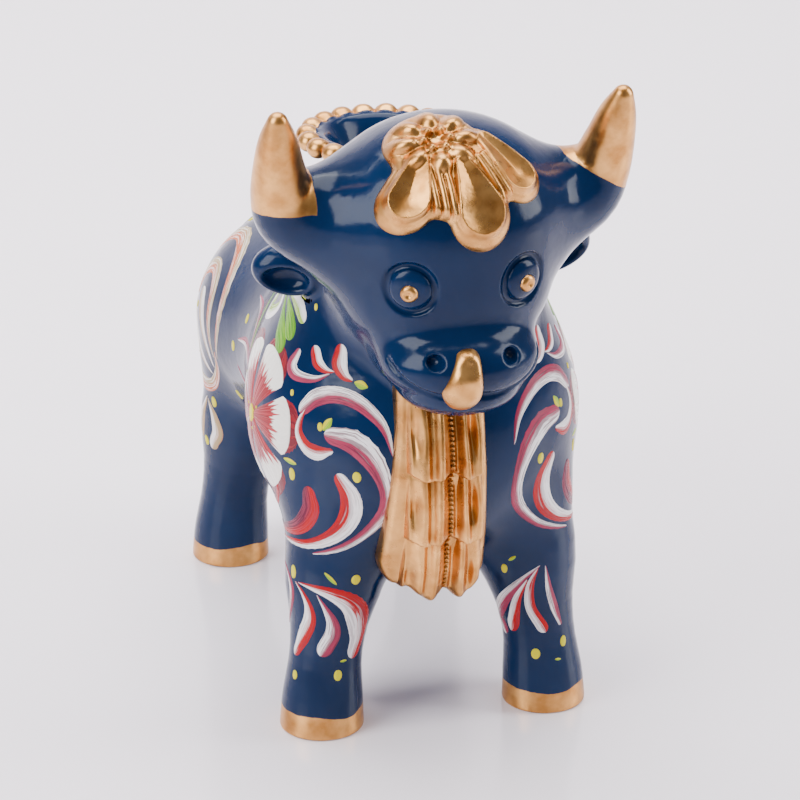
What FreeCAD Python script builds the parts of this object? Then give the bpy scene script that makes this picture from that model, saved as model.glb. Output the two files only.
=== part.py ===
"""Painted ceramic bull vessel, in millimetres.

The bull faces -Y, its left side is +X and +Z is up. The origin is on the floor,
under the middle of the whole figure. Every lump of clay is its own solid: the
hollow torso and head, and the legs, horns, ears, eyes, forelock, dewlap,
tongue, spout and tail that are luted on and meet them face to face.
"""
import FreeCAD, Part
import math
import os

import Sketcher
from FreeCAD import Placement, Rotation, Vector

SIZES = {
    # Torso
    "wall": 4,
    "chest_front": -68,
    "torso_length": 155,
    "torso_width": 82,
    "torso_height": 72,
    "torso_axis": 74,
    # Neck and head
    "neck_width": 68,
    "neck_depth": 58,
    "head_width": 62,
    "head_depth": 52,
    "chin_height": 93,
    "crown_height": 159,
    "nostril_spacing": 19,
    "nostril_radius": 2.5,
    "nostril_y": -83.5,
    "nostril_height": 109,
    "head_vent_y": -37,
    "head_vent_floor": 112,
    "head_vent_length": 28,
    # Horns
    "horn_root": 26,
    "horn_reach": 46,
    "horn_tip_height": 167,
    # Ears
    "ear_spacing": 70,
    "ear_length": 20,
    "ear_width": 14,
    "ear_thickness": 9,
    "ear_y": -36,
    "ear_height": 120,
    # Eyes
    "eye_spacing": 26,
    "eye_y": -73.5,
    "eye_height": 124,
    "eye_diameter": 13,
    "eye_bulge": 6,
    "eye_groove": 1,
    "pupil_diameter": 4.6,
    "pupil_dimple": 0.9,
    # Forelock
    "petal_length": 26,
    "petal_width": 13,
    "petal_thickness": 8,
    "curl_radius": 3.6,
    "curl_ring": 6.6,
    # Tongue
    "tongue_width": 10,
    "tongue_height": 16,
    "tongue_thickness": 7,
    "tongue_centre": -2,
    "tongue_y": -85,
    "tongue_lean": 10,
    # Dewlap
    "dewlap_centre": -2,
    "dewlap_width": 25,
    "dewlap_top": 93,
    "dewlap_bottom": 41,
    "dewlap_thickness": 12,
    # Legs
    "front_foot_y": -46,
    "rear_foot_y": 61,
    "front_foot_spacing": 57,
    "rear_foot_spacing": 58,
    "foot_diameter": 21,
    "leg_wall": 3.5,
    "sole": 6,
    "leg_vent": 5,
    "leg_vent_floor": 32,
    "leg_vent_length": 30,
    # Spout
    "spout_y": 4,
    "spout_rim_height": 139,
    "spout_rim_diameter": 37,
    "spout_bore": 18,
    "spout_hole_floor": 86,
    "spout_hole_length": 40,
    "lobe_radius": 2.6,
    "lobe_count": 20,
    # Tail
    "tail_y": 84.2,
    "tail_radius": 4.5,
    "tail_curl": 9,
    "tail_root": 56,
    "tail_turn": 78,
}

# Stations of the torso: distance behind the chest, width, height and height of
# the axis, as fractions of the torso's length, width, height and axis.
TORSO_STATIONS = [
    (0.000, 0.40, 0.36, 0.85),
    (0.050, 0.76, 0.78, 0.90),
    (0.175, 0.97, 0.98, 0.97),
    (0.370, 1.00, 1.00, 1.00),
    (0.625, 0.90, 0.87, 0.98),
    (0.820, 0.94, 0.87, 0.98),
    (0.950, 0.68, 0.66, 0.98),
    (1.000, 0.33, 0.33, 0.98),
]

# Levels of the neck: height, place along Y, and width and depth as fractions.
NECK_LEVELS = [
    (71, -22, 0.97, 0.97),
    (88, -25, 1.00, 1.00),
    (103, -31, 0.94, 0.93),
    (117, -38, 0.85, 0.86),
    (131, -46, 0.76, 0.76),
]

# Levels of the head from chin to crown: height as a fraction of the way up,
# place along Y, and width and depth as fractions.
HEAD_LEVELS = [
    (0.000, -76, 0.24, 0.20),
    (0.080, -75, 0.45, 0.38),
    (0.200, -71, 0.61, 0.56),
    (0.320, -66, 0.71, 0.66),
    (0.470, -59, 0.84, 0.77),
    (0.620, -53, 0.97, 0.96),
    (0.730, -51, 1.00, 1.00),
    (0.840, -51, 0.90, 0.90),
    (0.920, -51, 0.70, 0.70),
    (0.970, -51, 0.44, 0.44),
    (0.995, -51, 0.18, 0.18),
]

# Stations of a horn: place along X as a fraction of its reach, along Y, below
# the tip, lean of the section outward in degrees, and diameter as a fraction.
HORN_STATIONS = [
    (0.48, -48, 34.0, 75, 1.00),
    (0.71, -50, 30.0, 58, 0.86),
    (0.84, -53, 22.5, 28, 0.61),
    (0.86, -56, 14.0, 8, 0.53),
    (0.88, -59, 7.5, 5, 0.43),
    (0.90, -61, 2.5, 5, 0.28),
    (0.91, -62, 0.3, 5, 0.10),
]

# Levels of a leg: height, place outward as a fraction of the foot's, place
# along Y from the foot, and diameter as a fraction of the foot's.
FRONT_LEG_LEVELS = [
    (0, 1.00, 0, 1.00),
    (9, 1.00, 0, 0.98),
    (20, 0.95, 0, 0.88),
    (32, 0.89, 1, 1.00),
    (44, 0.83, 3, 1.28),
    (56, 0.76, 4, 1.36),
    (68, 0.68, 5, 0.90),
]
REAR_LEG_LEVELS = [
    (0, 1.00, 0, 0.95),
    (9, 1.00, 0, 0.93),
    (19, 0.98, 0, 0.86),
    (32, 0.93, -2, 1.02),
    (44, 0.86, -5, 1.30),
    (56, 0.78, -8, 1.38),
    (68, 0.68, -9, 0.90),
]

# Levels of the spout: distance below the rim, and the outer and bore diameters
# as fractions of the rim's diameter.
SPOUT_LEVELS = [
    (36, 0.74, 0.49),
    (22, 0.68, 0.47),
    (12, 0.76, 0.52),
    (4, 0.97, 0.75),
    (0, 1.06, 0.90),
]

# The forelock's petals on the brow: turn from straight ahead, height above the
# brow's centre and lean, all in degrees, and length as a fraction.
PETALS = [
    (-42, 40, 30, 0.90),
    (-22, 30, 14, 0.95),
    (6, 22, -6, 1.00),
    (30, 34, -26, 0.90),
    (44, 52, -48, 0.70),
]
CURL_COUNT = 8
DEWLAP_TIERS = 3

# How far an ear leans down and sweeps back, in degrees.
EAR_LEAN = 12
EAR_SWEEP = 18

SIDES = {"left": 1, "right": -1}

doc = FreeCAD.newDocument("CeramicBull")
sizes = doc.addObject("Spreadsheet::Sheet", "sizes")


def fill_sheet():
    """Writes every driving dimension with its alias."""
    for row, (alias, number) in enumerate(SIZES.items(), start=1):
        sizes.set(f"A{row}", alias)
        sizes.set(f"B{row}", str(number))
        sizes.setAlias(f"B{row}", alias)
    doc.recompute()


def size(alias):
    """One number read back from the sheet."""
    return float(sizes.get(alias))


def origin_feature(body, role):
    """The plane or axis of a body's own origin that has this role."""
    return next(item for item in body.Origin.OriginFeatures if item.Role == role)


def dimension(sketch, name, kind, geometry, start, expression):
    """Adds a dimension to a sketch and binds it to a sheet expression."""
    index = sketch.addConstraint(Sketcher.Constraint(kind, geometry, start))
    sketch.renameConstraint(index, name)
    sketch.setExpression(f"Constraints.{name}", expression)


def ellipse_sketch(body, name, plane, place, half_sizes, lean=0):
    """An ellipse or circle centred on a sketch parallel to an origin plane.

    place and half_sizes are sheet expressions: X, Y and Z of the centre, then
    the half-width and the other half-size, which is no larger.
    """
    x, y, z = place
    offset = (x, y, z) if plane == "XY_Plane" else (x, z, f"-({y})")
    sketch = body.newObject("Sketcher::SketchObject", name)
    sketch.AttachmentSupport = [(origin_feature(body, plane), "")]
    sketch.MapMode = "FlatFace"
    sketch.AttachmentOffset = Placement(Vector(), Rotation(Vector(0, 1, 0), lean))
    for letter, expression in zip("xyz", offset):
        sketch.setExpression(f"AttachmentOffset.Base.{letter}", expression)
    half_width, half_height = half_sizes
    if half_width == half_height:
        sketch.addGeometry(Part.Circle(Vector(), Vector(0, 0, 1), 10))
        dimension(sketch, "radius", "Radius", 0, 10, half_width)
    else:
        sketch.addGeometry(Part.Ellipse(Vector(10, 0, 0), Vector(0, 8, 0), Vector()))
        sketch.exposeInternalGeometry(0)
        sketch.addConstraint(Sketcher.Constraint("Horizontal", 1))
        dimension(sketch, "width", "Distance", 1, 20, f"2 * ({half_width})")
        dimension(sketch, "height", "Distance", 2, 16, f"2 * ({half_height})")
    sketch.addConstraint(Sketcher.Constraint("Coincident", 0, 3, -1, 1))
    return sketch


def lofted(name, plane, sections):
    """A body lofted through (place, half-sizes, lean) sections."""
    body = doc.addObject("PartDesign::Body", name)
    sketches = [
        ellipse_sketch(body, f"{name}_section_{number}", plane, *section)
        for number, section in enumerate(sections, start=1)
    ]
    loft = body.newObject("PartDesign::AdditiveLoft", f"{name}_loft")
    loft.Profile = sketches[0]
    loft.Sections = sketches[1:]
    return body


def placed(item, place):
    """Binds an object's position to three sheet expressions."""
    for letter, expression in zip("xyz", place):
        item.setExpression(f"Placement.Base.{letter}", expression)
    return item


def ellipsoid(name, radii, place, turn=Rotation()):
    """A whole ellipsoid; radii along X, Y and Z are sheet expressions."""
    item = doc.addObject("Part::Ellipsoid", name)
    for radius, expression in zip(("Radius2", "Radius3", "Radius1"), radii):
        item.setExpression(radius, expression)
    item.Placement = Placement(Vector(), turn)
    return placed(item, place)


def cylinder(name, radius, height, place):
    """An upright cylinder; every argument but the name is an expression."""
    item = doc.addObject("Part::Cylinder", name)
    item.setExpression("Radius", radius)
    item.setExpression("Height", height)
    return placed(item, place)


def fused(name, items):
    """All the items as one solid."""
    fusion = doc.addObject("Part::MultiFuse", name)
    fusion.Shapes = items
    return fusion


def cut(name, base, *tools):
    """The base less each tool in turn. The name is also the sub-part's label."""
    for number, tool in enumerate(tools, start=1):
        last = number == len(tools)
        result = doc.addObject("Part::Cut", name if last else f"{name}_cut_{number}")
        result.Base = base
        result.Tool = tool
        base = result
    return base


def torso_sections(inset):
    """The torso's sections, or its hollow's with the wall as the inset."""
    last = len(TORSO_STATIONS) - 1
    sections = []
    for number, (along, width, height, axis) in enumerate(TORSO_STATIONS):
        shift = {0: inset, last: f"-{inset}"}.get(number, "0")
        place = ("0", f"sizes.chest_front + {along} * sizes.torso_length + {shift}",
                 f"{axis} * sizes.torso_axis")
        half_sizes = (f"{width} * sizes.torso_width / 2 - {inset}",
                      f"{height} * sizes.torso_height / 2 - {inset}")
        sections.append((place, half_sizes))
    return sections


def neck_sections(inset):
    """The neck's sections, or its hollow's with the wall as the inset."""
    return [
        (("0", str(y), str(z)),
         (f"{width} * sizes.neck_width / 2 - {inset}",
          f"{depth} * sizes.neck_depth / 2 - {inset}"))
        for z, y, width, depth in NECK_LEVELS
    ]


def head_sections(inset):
    """The head's sections, or its hollow's with the wall as the inset."""
    levels = HEAD_LEVELS if inset == "0" else HEAD_LEVELS[1:-1]
    sections = []
    for rise, y, width, depth in levels:
        height = "(sizes.crown_height - sizes.chin_height)"
        place = ("0", str(y), f"sizes.chin_height + {rise} * {height}")
        half_sizes = (f"{width} * sizes.head_width / 2 - {inset}",
                      f"{depth} * sizes.head_depth / 2 - {inset}")
        sections.append((place, half_sizes))
    return sections


def leg_sections(end, side, inset):
    """The sections of a front or rear leg, or of its hollow."""
    levels = FRONT_LEG_LEVELS if end == "front" else REAR_LEG_LEVELS
    sections = []
    for z, outward, behind, width in levels:
        place = (f"{side} * {outward} * sizes.{end}_foot_spacing / 2",
                 f"sizes.{end}_foot_y + {behind}",
                 str(z) if z or inset == "0" else "sizes.sole")
        radius = f"{width} * sizes.foot_diameter / 2 - {inset}"
        sections.append((place, (radius, radius)))
    return sections


def horn_sections(side):
    """The sections of a horn from its root to its tip."""
    return [
        ((f"{side} * {reach} * sizes.horn_reach", str(y), f"sizes.horn_tip_height - {drop}"),
         (f"{width} * sizes.horn_root / 2",) * 2, side * lean)
        for reach, y, drop, lean, width in HORN_STATIONS
    ]


def brow_placement(turn, rise, lean, proud):
    """A placement on the brow, with its Z axis along the brow's normal."""
    turn, rise = math.radians(turn), math.radians(rise)
    radii = Vector(size("head_width"), size("head_depth"), size("head_depth")) / 2
    centre = Vector(0, HEAD_LEVELS[-1][1], size("crown_height") - radii.z)
    way = Vector(math.sin(turn) * math.cos(rise), -math.cos(turn) * math.cos(rise), math.sin(rise))
    point = centre + Vector(radii.x * way.x, radii.y * way.y, radii.z * way.z)
    normal = Vector(way.x / radii.x, way.y / radii.y, way.z / radii.z).normalize()
    across = normal.cross(Vector(0, 0, 1)).normalize() * -1
    upright = Rotation(across, normal.cross(across), normal, "ZXY")
    return Placement(point + normal * proud, upright * Rotation(Vector(0, 0, 1), lean))


def petal(number, turn, rise, lean, length):
    """One large petal of the forelock, dished in the middle."""
    place = brow_placement(turn, rise, lean, 1)
    outer = doc.addObject("Part::Ellipsoid", f"petal_{number}")
    outer.setExpression("Radius1", "sizes.petal_thickness / 2")
    outer.setExpression("Radius2", "sizes.petal_width / 2")
    outer.setExpression("Radius3", f"{length} * sizes.petal_length / 2")
    outer.Placement = place
    dish = doc.addObject("Part::Ellipsoid", f"petal_dish_{number}")
    dish.setExpression("Radius1", "sizes.petal_thickness / 5")
    dish.setExpression("Radius2", "sizes.petal_width / 3.6")
    dish.setExpression("Radius3", f"{length} * sizes.petal_length / 3")
    dish.Placement = Placement(place.multVec(Vector(0, 0, size("petal_thickness") / 2)), place.Rotation)
    return cut(f"dished_petal_{number}", outer, dish)


def forelock(head_blank):
    """Petals that fan down the brow from a ring of curls."""
    lumps = [petal(number, *shape) for number, shape in enumerate(PETALS, start=1)]
    crown = brow_placement(-8, 64, 0, 0)
    for number in range(CURL_COUNT):
        angle = 2 * math.pi * number / CURL_COUNT
        spot = Vector(math.cos(angle), math.sin(angle), 0) * size("curl_ring")
        curl = doc.addObject("Part::Sphere", f"curl_{number + 1}")
        curl.setExpression("Radius", "sizes.curl_radius")
        curl.Placement = Placement(crown.multVec(spot), Rotation())
        lumps.append(curl)
    boss = doc.addObject("Part::Sphere", "curl_boss")
    boss.setExpression("Radius", "sizes.curl_radius * 1.6")
    boss.Placement = crown
    return cut("forelock", fused("forelock_blank", lumps + [boss]), head_blank)


def dewlap(torso_blank, head_blank):
    """Three tiers of folds on each side of a middle ridge, with side strips."""
    tier = "(sizes.dewlap_top - sizes.dewlap_bottom)"
    lumps = []
    for number in range(DEWLAP_TIERS):
        level = f"sizes.dewlap_bottom + {tier} * {(number + 0.5) / DEWLAP_TIERS}"
        for side_name, side in SIDES.items():
            lumps.append(ellipsoid(
                f"fold_{side_name}_{number + 1}",
                ("sizes.dewlap_width * 0.29", "sizes.dewlap_thickness / 2", f"{tier} * 0.23"),
                (f"sizes.dewlap_centre + {side} * sizes.dewlap_width * 0.22",
                 f"sizes.chest_front + {1 + 2.5 * number}", level),
                Rotation(Vector(0, 1, 0), side * (8 + 3 * number))))
    middle = f"sizes.dewlap_bottom + {tier} / 2"
    lumps.append(ellipsoid(
        "dewlap_ridge",
        ("sizes.dewlap_width * 0.11", "sizes.dewlap_thickness * 0.55", f"{tier} / 2"),
        ("sizes.dewlap_centre", "sizes.chest_front + 2", middle)))
    for side_name, side in SIDES.items():
        lumps.append(ellipsoid(
            f"dewlap_strip_{side_name}",
            ("sizes.dewlap_width * 0.1", "sizes.dewlap_thickness * 0.45", f"{tier} * 0.46"),
            (f"sizes.dewlap_centre + {side} * sizes.dewlap_width * 0.4",
             "sizes.chest_front + 4", middle)))
    blank = lumps[0]
    for number, lump in enumerate(lumps[1:], start=1):
        joined = doc.addObject("Part::Fuse", f"dewlap_join_{number}")
        joined.Base = blank
        joined.Tool = lump
        blank = joined
    return cut("dewlap", blank, torso_blank, head_blank)


def horn_and_ear(side_name, head_blank, torso_blank):
    """A short horn that curves up to a blunt tip, and the ear below it."""
    blank = lofted(f"horn_blank_{side_name}", "XY_Plane", horn_sections(SIDES[side_name]))
    horn = cut(f"horn_{side_name}", blank, head_blank)
    return [horn, ear(side_name, head_blank, torso_blank, blank)]


def ear(side_name, *neighbours):
    """A cupped ear, open to the front, trimmed to the clay round it."""
    side = SIDES[side_name]
    across = f"{side} * sizes.ear_spacing / 2"
    lean = Rotation(Vector(0, 1, 0), side * EAR_LEAN)
    sweep = Rotation(Vector(0, 0, 1), side * EAR_SWEEP)
    # The half turn on the right puts the seam of each surface on the ear's tip.
    turn = lean * sweep * Rotation(Vector(0, 0, 1), 90 - 90 * side)
    leaf = ellipsoid(
        f"ear_leaf_{side_name}",
        ("sizes.ear_length / 2", "sizes.ear_thickness / 2", "sizes.ear_width / 2"),
        (across, "sizes.ear_y", "sizes.ear_height"), turn)
    hollow = ellipsoid(
        f"ear_hollow_{side_name}",
        ("sizes.ear_length / 2.6", "sizes.ear_thickness / 2", "sizes.ear_width / 2.8"),
        (across, "sizes.ear_y - sizes.ear_thickness / 2", "sizes.ear_height - 1"), turn)
    return cut(f"ear_{side_name}", leaf, hollow, *neighbours)


def eye_and_pupil(side_name, head_blank):
    """A domed eye with a groove round it, and the dimpled pupil on top."""
    side = SIDES[side_name]
    outward = Vector(side * 0.30, -1, -0.05)
    turn = Rotation(Vector(0, 0, 1), outward)
    place = (f"{side} * sizes.eye_spacing / 2", "sizes.eye_y", "sizes.eye_height")
    dome = ellipsoid(
        f"eye_dome_{side_name}",
        ("sizes.eye_diameter / 2", "sizes.eye_diameter / 2", "sizes.eye_bulge"), place, turn)
    groove = doc.addObject("Part::Torus", f"eye_groove_{side_name}")
    groove.setExpression("Radius1", "sizes.eye_diameter * 0.38")
    groove.setExpression("Radius2", "sizes.eye_groove / 2")
    top = Placement(Vector(side * size("eye_spacing") / 2, size("eye_y"), size("eye_height")), turn)
    groove.Placement = top * Placement(Vector(0, 0, size("eye_bulge") * 0.64), Rotation())
    eye = cut(f"eye_{side_name}", dome, groove, head_blank)
    bead = doc.addObject("Part::Sphere", f"pupil_bead_{side_name}")
    bead.setExpression("Radius", "sizes.pupil_diameter / 2")
    bead.Placement = top * Placement(Vector(0, 0, size("eye_bulge") - 0.6), Rotation())
    dimple = doc.addObject("Part::Sphere", f"pupil_dimple_{side_name}")
    dimple.setExpression("Radius", "sizes.pupil_dimple")
    dimple.Placement = bead.Placement * Placement(Vector(0, 0, size("pupil_diameter") / 2), Rotation())
    pupil = cut(f"pupil_{side_name}", bead, dimple, dome, head_blank)
    return [eye, pupil]


def tongue(head_blank):
    """A tongue that turns up out of the mouth and over the nose."""
    blank = ellipsoid(
        "tongue_blank",
        ("sizes.tongue_width / 2", "sizes.tongue_thickness / 2", "sizes.tongue_height / 2"),
        ("sizes.tongue_centre", "sizes.tongue_y", "sizes.chin_height + sizes.tongue_height * 0.72"),
        Rotation(Vector(1, 0, 0), -size("tongue_lean")))
    return cut("tongue", blank, head_blank)


def head_shell(head_blank):
    """The hollow head, with nostrils and a vent down into the neck."""
    core = lofted("head_core", "XY_Plane", head_sections("sizes.wall"))
    vent = cylinder("head_vent", "sizes.leg_vent", "sizes.head_vent_length",
                    ("0", "sizes.head_vent_y", "sizes.head_vent_floor"))
    nostrils = [
        ellipsoid(f"nostril_{name}", ("sizes.nostril_radius",) * 3,
                  (f"{side} * sizes.nostril_spacing / 2", "sizes.nostril_y", "sizes.nostril_height"))
        for name, side in SIDES.items()
    ]
    return cut("head_shell", head_blank, core, vent, *nostrils)


def torso_shell(torso_blank, head_blank):
    """The hollow torso and neck, open to the spout, the legs and the head."""
    core = lofted("torso_core", "XZ_Plane", torso_sections("sizes.wall"))
    neck_core = lofted("neck_core", "XY_Plane", neck_sections("sizes.wall"))
    mouth = cylinder("spout_hole", "sizes.spout_bore / 2", "sizes.spout_hole_length",
                     ("0", "sizes.spout_y", "sizes.spout_hole_floor"))
    vents = [
        cylinder(f"leg_vent_{end}_{name}", "sizes.leg_vent", "sizes.leg_vent_length",
                 (f"{side} * 0.8 * sizes.{end}_foot_spacing / 2",
                  f"sizes.{end}_foot_y + {behind}", "sizes.leg_vent_floor"))
        for end, behind in (("front", 3), ("rear", -6))
        for name, side in SIDES.items()
    ]
    return cut("torso_shell", torso_blank, head_blank, core, neck_core, mouth, *vents)


def leg(end, side_name, torso_blank):
    """A leg with a closed sole, hollow up to the vent in the torso."""
    side = SIDES[side_name]
    blank = lofted(f"leg_blank_{end}_{side_name}", "XY_Plane", leg_sections(end, side, "0"))
    core = lofted(f"leg_core_{end}_{side_name}", "XY_Plane",
                  leg_sections(end, side, "sizes.leg_wall"))
    return cut(f"leg_{end}_{side_name}", blank, core, torso_blank)


def spout(torso_blank):
    """A flared spout whose lip is a ring of round lobes."""
    bodies = {}
    for kind, column in (("blank", 1), ("bore", 2)):
        bodies[kind] = lofted(f"spout_{kind}", "XY_Plane", [
            (("0", "0", f"sizes.spout_rim_height - {level[0]}"),
             (f"{level[column]} * sizes.spout_rim_diameter / 2",) * 2)
            for level in SPOUT_LEVELS])
        bodies[kind].setExpression("Placement.Base.y", "sizes.spout_y")
    blank = bodies["blank"]
    lobe = blank.newObject("PartDesign::AdditiveSphere", "lobe")
    lobe.AttachmentSupport = [(origin_feature(blank, "XY_Plane"), "")]
    lobe.MapMode = "FlatFace"
    lobe.setExpression("Radius", "sizes.lobe_radius")
    lobe.setExpression("AttachmentOffset.Base.x", "sizes.spout_rim_diameter / 2")
    lobe.setExpression("AttachmentOffset.Base.z", "sizes.spout_rim_height - sizes.lobe_radius * 0.8")
    lobes = blank.newObject("PartDesign::PolarPattern", "lobes")
    lobes.Originals = [lobe]
    lobes.Axis = (origin_feature(blank, "Z_Axis"), [""])
    lobes.Angle = 360
    lobes.setExpression("Occurrences", "sizes.lobe_count")
    blank.Tip = lobes
    return cut("spout", blank, bodies["bore"], torso_blank)


def tail(torso_blank):
    """A tail that rises up the rump and curls over to the right hip."""
    body = doc.addObject("PartDesign::Body", "tail_rope")
    path = body.newObject("Sketcher::SketchObject", "tail_path")
    path.AttachmentSupport = [(origin_feature(body, "XZ_Plane"), "")]
    path.MapMode = "FlatFace"
    path.setExpression("AttachmentOffset.Base.z", "-sizes.tail_y")
    start, turn, curl = size("tail_root"), size("tail_turn"), size("tail_curl")
    path.addGeometry(Part.LineSegment(Vector(0, start, 0), Vector(0, turn, 0)))
    crook = Part.Circle(Vector(-curl, turn, 0), Vector(0, 0, 1), curl)
    path.addGeometry(Part.ArcOfCircle(crook, 0, math.pi))
    path.addConstraint(Sketcher.Constraint("PointOnObject", 0, 1, -2))
    path.addConstraint(Sketcher.Constraint("Vertical", 0))
    path.addConstraint(Sketcher.Constraint("Tangent", 0, 2, 1, 1))
    path.addConstraint(Sketcher.Constraint("Horizontal", 1, 1, 1, 2))
    for name, position, alias in (("root", 1, "tail_root"), ("turn", 2, "tail_turn")):
        index = path.addConstraint(Sketcher.Constraint("DistanceY", -1, 1, 0, position, size(alias)))
        path.renameConstraint(index, name)
        path.setExpression(f"Constraints.{name}", f"sizes.{alias}")
    dimension(path, "crook", "Radius", 1, curl, "sizes.tail_curl")
    end = ellipse_sketch(body, "tail_section", "XY_Plane", ("0", "sizes.tail_y", "sizes.tail_root"),
                         ("sizes.tail_radius", "sizes.tail_radius"))
    rope = body.newObject("PartDesign::AdditivePipe", "tail_pipe")
    rope.Profile = end
    rope.Spine = path
    tuft = ellipsoid(
        "tail_tuft", ("sizes.tail_radius * 1.2", "sizes.tail_radius", "sizes.tail_radius * 1.9"),
        ("-2 * sizes.tail_curl", "sizes.tail_y - 1", "sizes.tail_turn"))
    return cut("tail", fused("tail_blank", [body, tuft]), torso_blank)


def build():
    """Makes every sub-part and returns them."""
    fill_sheet()
    torso_blank = fused("torso_blank", [
        lofted("torso_form", "XZ_Plane", torso_sections("0")),
        lofted("neck_form", "XY_Plane", neck_sections("0")),
    ])
    head_blank = lofted("head_blank", "XY_Plane", head_sections("0"))
    parts = [
        torso_shell(torso_blank, head_blank),
        head_shell(head_blank),
        forelock(head_blank),
        tongue(head_blank),
        dewlap(torso_blank, head_blank),
        spout(torso_blank),
        tail(torso_blank),
    ]
    for side_name in SIDES:
        parts.extend(horn_and_ear(side_name, head_blank, torso_blank))
        parts.extend(eye_and_pupil(side_name, head_blank))
        parts.append(leg("front", side_name, torso_blank))
        parts.append(leg("rear", side_name, torso_blank))
    doc.recompute()
    return parts


def check(parts):
    """Stops on any failed object and on any sub-part that isn't one valid solid."""
    for item in doc.Objects:
        if {"Invalid", "Error"} & set(item.State):
            raise RuntimeError(f"{item.Name} failed: {item.State}")
    for part in parts:
        shape = part.Shape
        if shape.isNull() or not shape.isValid():
            raise RuntimeError(f"{part.Label} has no valid shape")
        print(f"{part.Label}: {len(shape.Solids)} solid, {shape.Volume:.0f} mm3")


def write(parts):
    """Writes each sub-part to its own STEP file."""
    os.makedirs("parts", exist_ok=True)
    for part in parts:
        part.Shape.exportStep(f"parts/{part.Label}.step")


sub_parts = build()
check(sub_parts)
write(sub_parts)
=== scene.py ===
import itertools
import math

import bpy
import numpy as np
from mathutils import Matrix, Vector


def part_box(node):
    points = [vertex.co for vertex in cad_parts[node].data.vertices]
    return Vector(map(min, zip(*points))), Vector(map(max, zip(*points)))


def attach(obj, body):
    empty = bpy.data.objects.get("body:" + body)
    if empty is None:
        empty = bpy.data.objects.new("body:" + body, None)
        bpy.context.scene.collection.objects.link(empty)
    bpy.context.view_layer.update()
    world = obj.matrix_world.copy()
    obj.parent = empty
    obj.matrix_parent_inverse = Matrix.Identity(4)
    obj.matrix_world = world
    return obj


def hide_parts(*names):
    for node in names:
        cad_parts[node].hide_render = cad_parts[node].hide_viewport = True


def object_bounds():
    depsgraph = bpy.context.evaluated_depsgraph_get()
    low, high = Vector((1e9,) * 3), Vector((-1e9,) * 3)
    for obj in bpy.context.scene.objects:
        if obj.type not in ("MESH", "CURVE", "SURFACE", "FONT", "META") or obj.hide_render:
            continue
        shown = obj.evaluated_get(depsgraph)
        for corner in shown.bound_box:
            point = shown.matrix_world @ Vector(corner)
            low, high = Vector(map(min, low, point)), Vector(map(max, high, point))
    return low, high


# Looks of a painted ceramic bull. Places are in millimetres in the part's own
# frame (X to the bull's left, -Y where it faces, Z up) until a mesh is made.
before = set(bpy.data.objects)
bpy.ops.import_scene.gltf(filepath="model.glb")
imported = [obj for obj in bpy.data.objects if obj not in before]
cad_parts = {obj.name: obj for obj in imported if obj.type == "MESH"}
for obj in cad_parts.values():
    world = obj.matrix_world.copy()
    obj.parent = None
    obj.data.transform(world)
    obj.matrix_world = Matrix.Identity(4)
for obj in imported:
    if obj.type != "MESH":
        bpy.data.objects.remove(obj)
cad_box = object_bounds()

METRE = 0.001
FAR = 1000.0
X, Y, Z = np.eye(3)
SIDES = {"left": 1.0, "right": -1.0}
BOXES = {name: np.array(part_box(name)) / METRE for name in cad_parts}


def spot(node, across, along, up):
    """The point at these fractions of the sides of a node's box."""
    low, high = BOXES[node]
    return low + (high - low) * np.array((across, along, up))


def unit(vectors):
    """Vectors scaled to length 1."""
    lengths = np.linalg.norm(vectors, axis=-1, keepdims=True)
    return vectors / np.maximum(lengths, 1e-9)


def smoothstep(value, start, end):
    """0 before start, 1 after end, and smooth between."""
    t = np.clip((value - start) / (end - start), 0.0, 1.0)
    return t * t * (3.0 - 2.0 * t)


# ---------------------------------------------------------------- solid shapes
# A shape is a dict: its box, and a function from points to signed distances.

def ellipsoid(centre, radii, tilt=None):
    """An ellipsoid; tilt is a 3x3 matrix whose rows are its own axes."""
    radii = np.array(radii, float)
    axes = np.eye(3) if tilt is None else tilt
    reach = radii.max()

    def distance(points):
        local = (points - centre) @ axes.T
        outer = np.linalg.norm(local / radii, axis=1)
        slope = np.linalg.norm(local / radii**2, axis=1)
        return outer * (outer - 1.0) / np.maximum(slope, 1e-6)

    return {"low": centre - reach, "high": centre + reach, "distance": distance}


def limb(path, radii):
    """A round limb along a path whose thickness changes from point to point."""
    path = np.array(path, float)
    radii = np.array(radii, float)
    reach = radii.max()

    def distance(points):
        best = np.full(len(points), FAR)
        for a, b, start, end in zip(path[:-1], path[1:], radii[:-1], radii[1:]):
            way = b - a
            length2 = way @ way
            taper = start - end
            from_a = points - a
            along = from_a @ way
            beyond = along - length2
            side2 = ((from_a * length2 - np.outer(along, way)) ** 2).sum(1)
            flat = length2 - taper * taper
            along2 = along * along * length2
            beyond2 = beyond * beyond * length2
            limit = math.copysign(taper * taper, taper) * side2
            cone = (np.sqrt(side2 * flat / length2) + along * taper) / length2 - start
            at_end = np.sqrt(side2 + beyond2) / length2 - end
            at_start = np.sqrt(side2 + along2) / length2 - start
            piece = np.where(np.sign(beyond) * flat * beyond2 > limit, at_end,
                             np.where(np.sign(along) * flat * along2 < limit, at_start, cone))
            best = np.minimum(best, piece)
        return best

    return {"low": path.min(0) - reach, "high": path.max(0) + reach, "distance": distance}


def curve_through(points, count):
    """Evenly numbered points on a smooth curve through the given rows."""
    points = np.array(points, float)
    padded = np.vstack([2 * points[0] - points[1], points, 2 * points[-1] - points[-2]])
    result = []
    for t in np.linspace(0, len(points) - 1, count):
        i = min(int(t), len(points) - 2)
        f = t - i
        p0, p1, p2, p3 = padded[i:i + 4]
        result.append(0.5 * (2 * p1 + (p2 - p0) * f + (2 * p0 - 5 * p1 + 4 * p2 - p3) * f**2
                             + (3 * p1 - p0 - 3 * p2 + p3) * f**3))
    return np.array(result)


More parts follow.
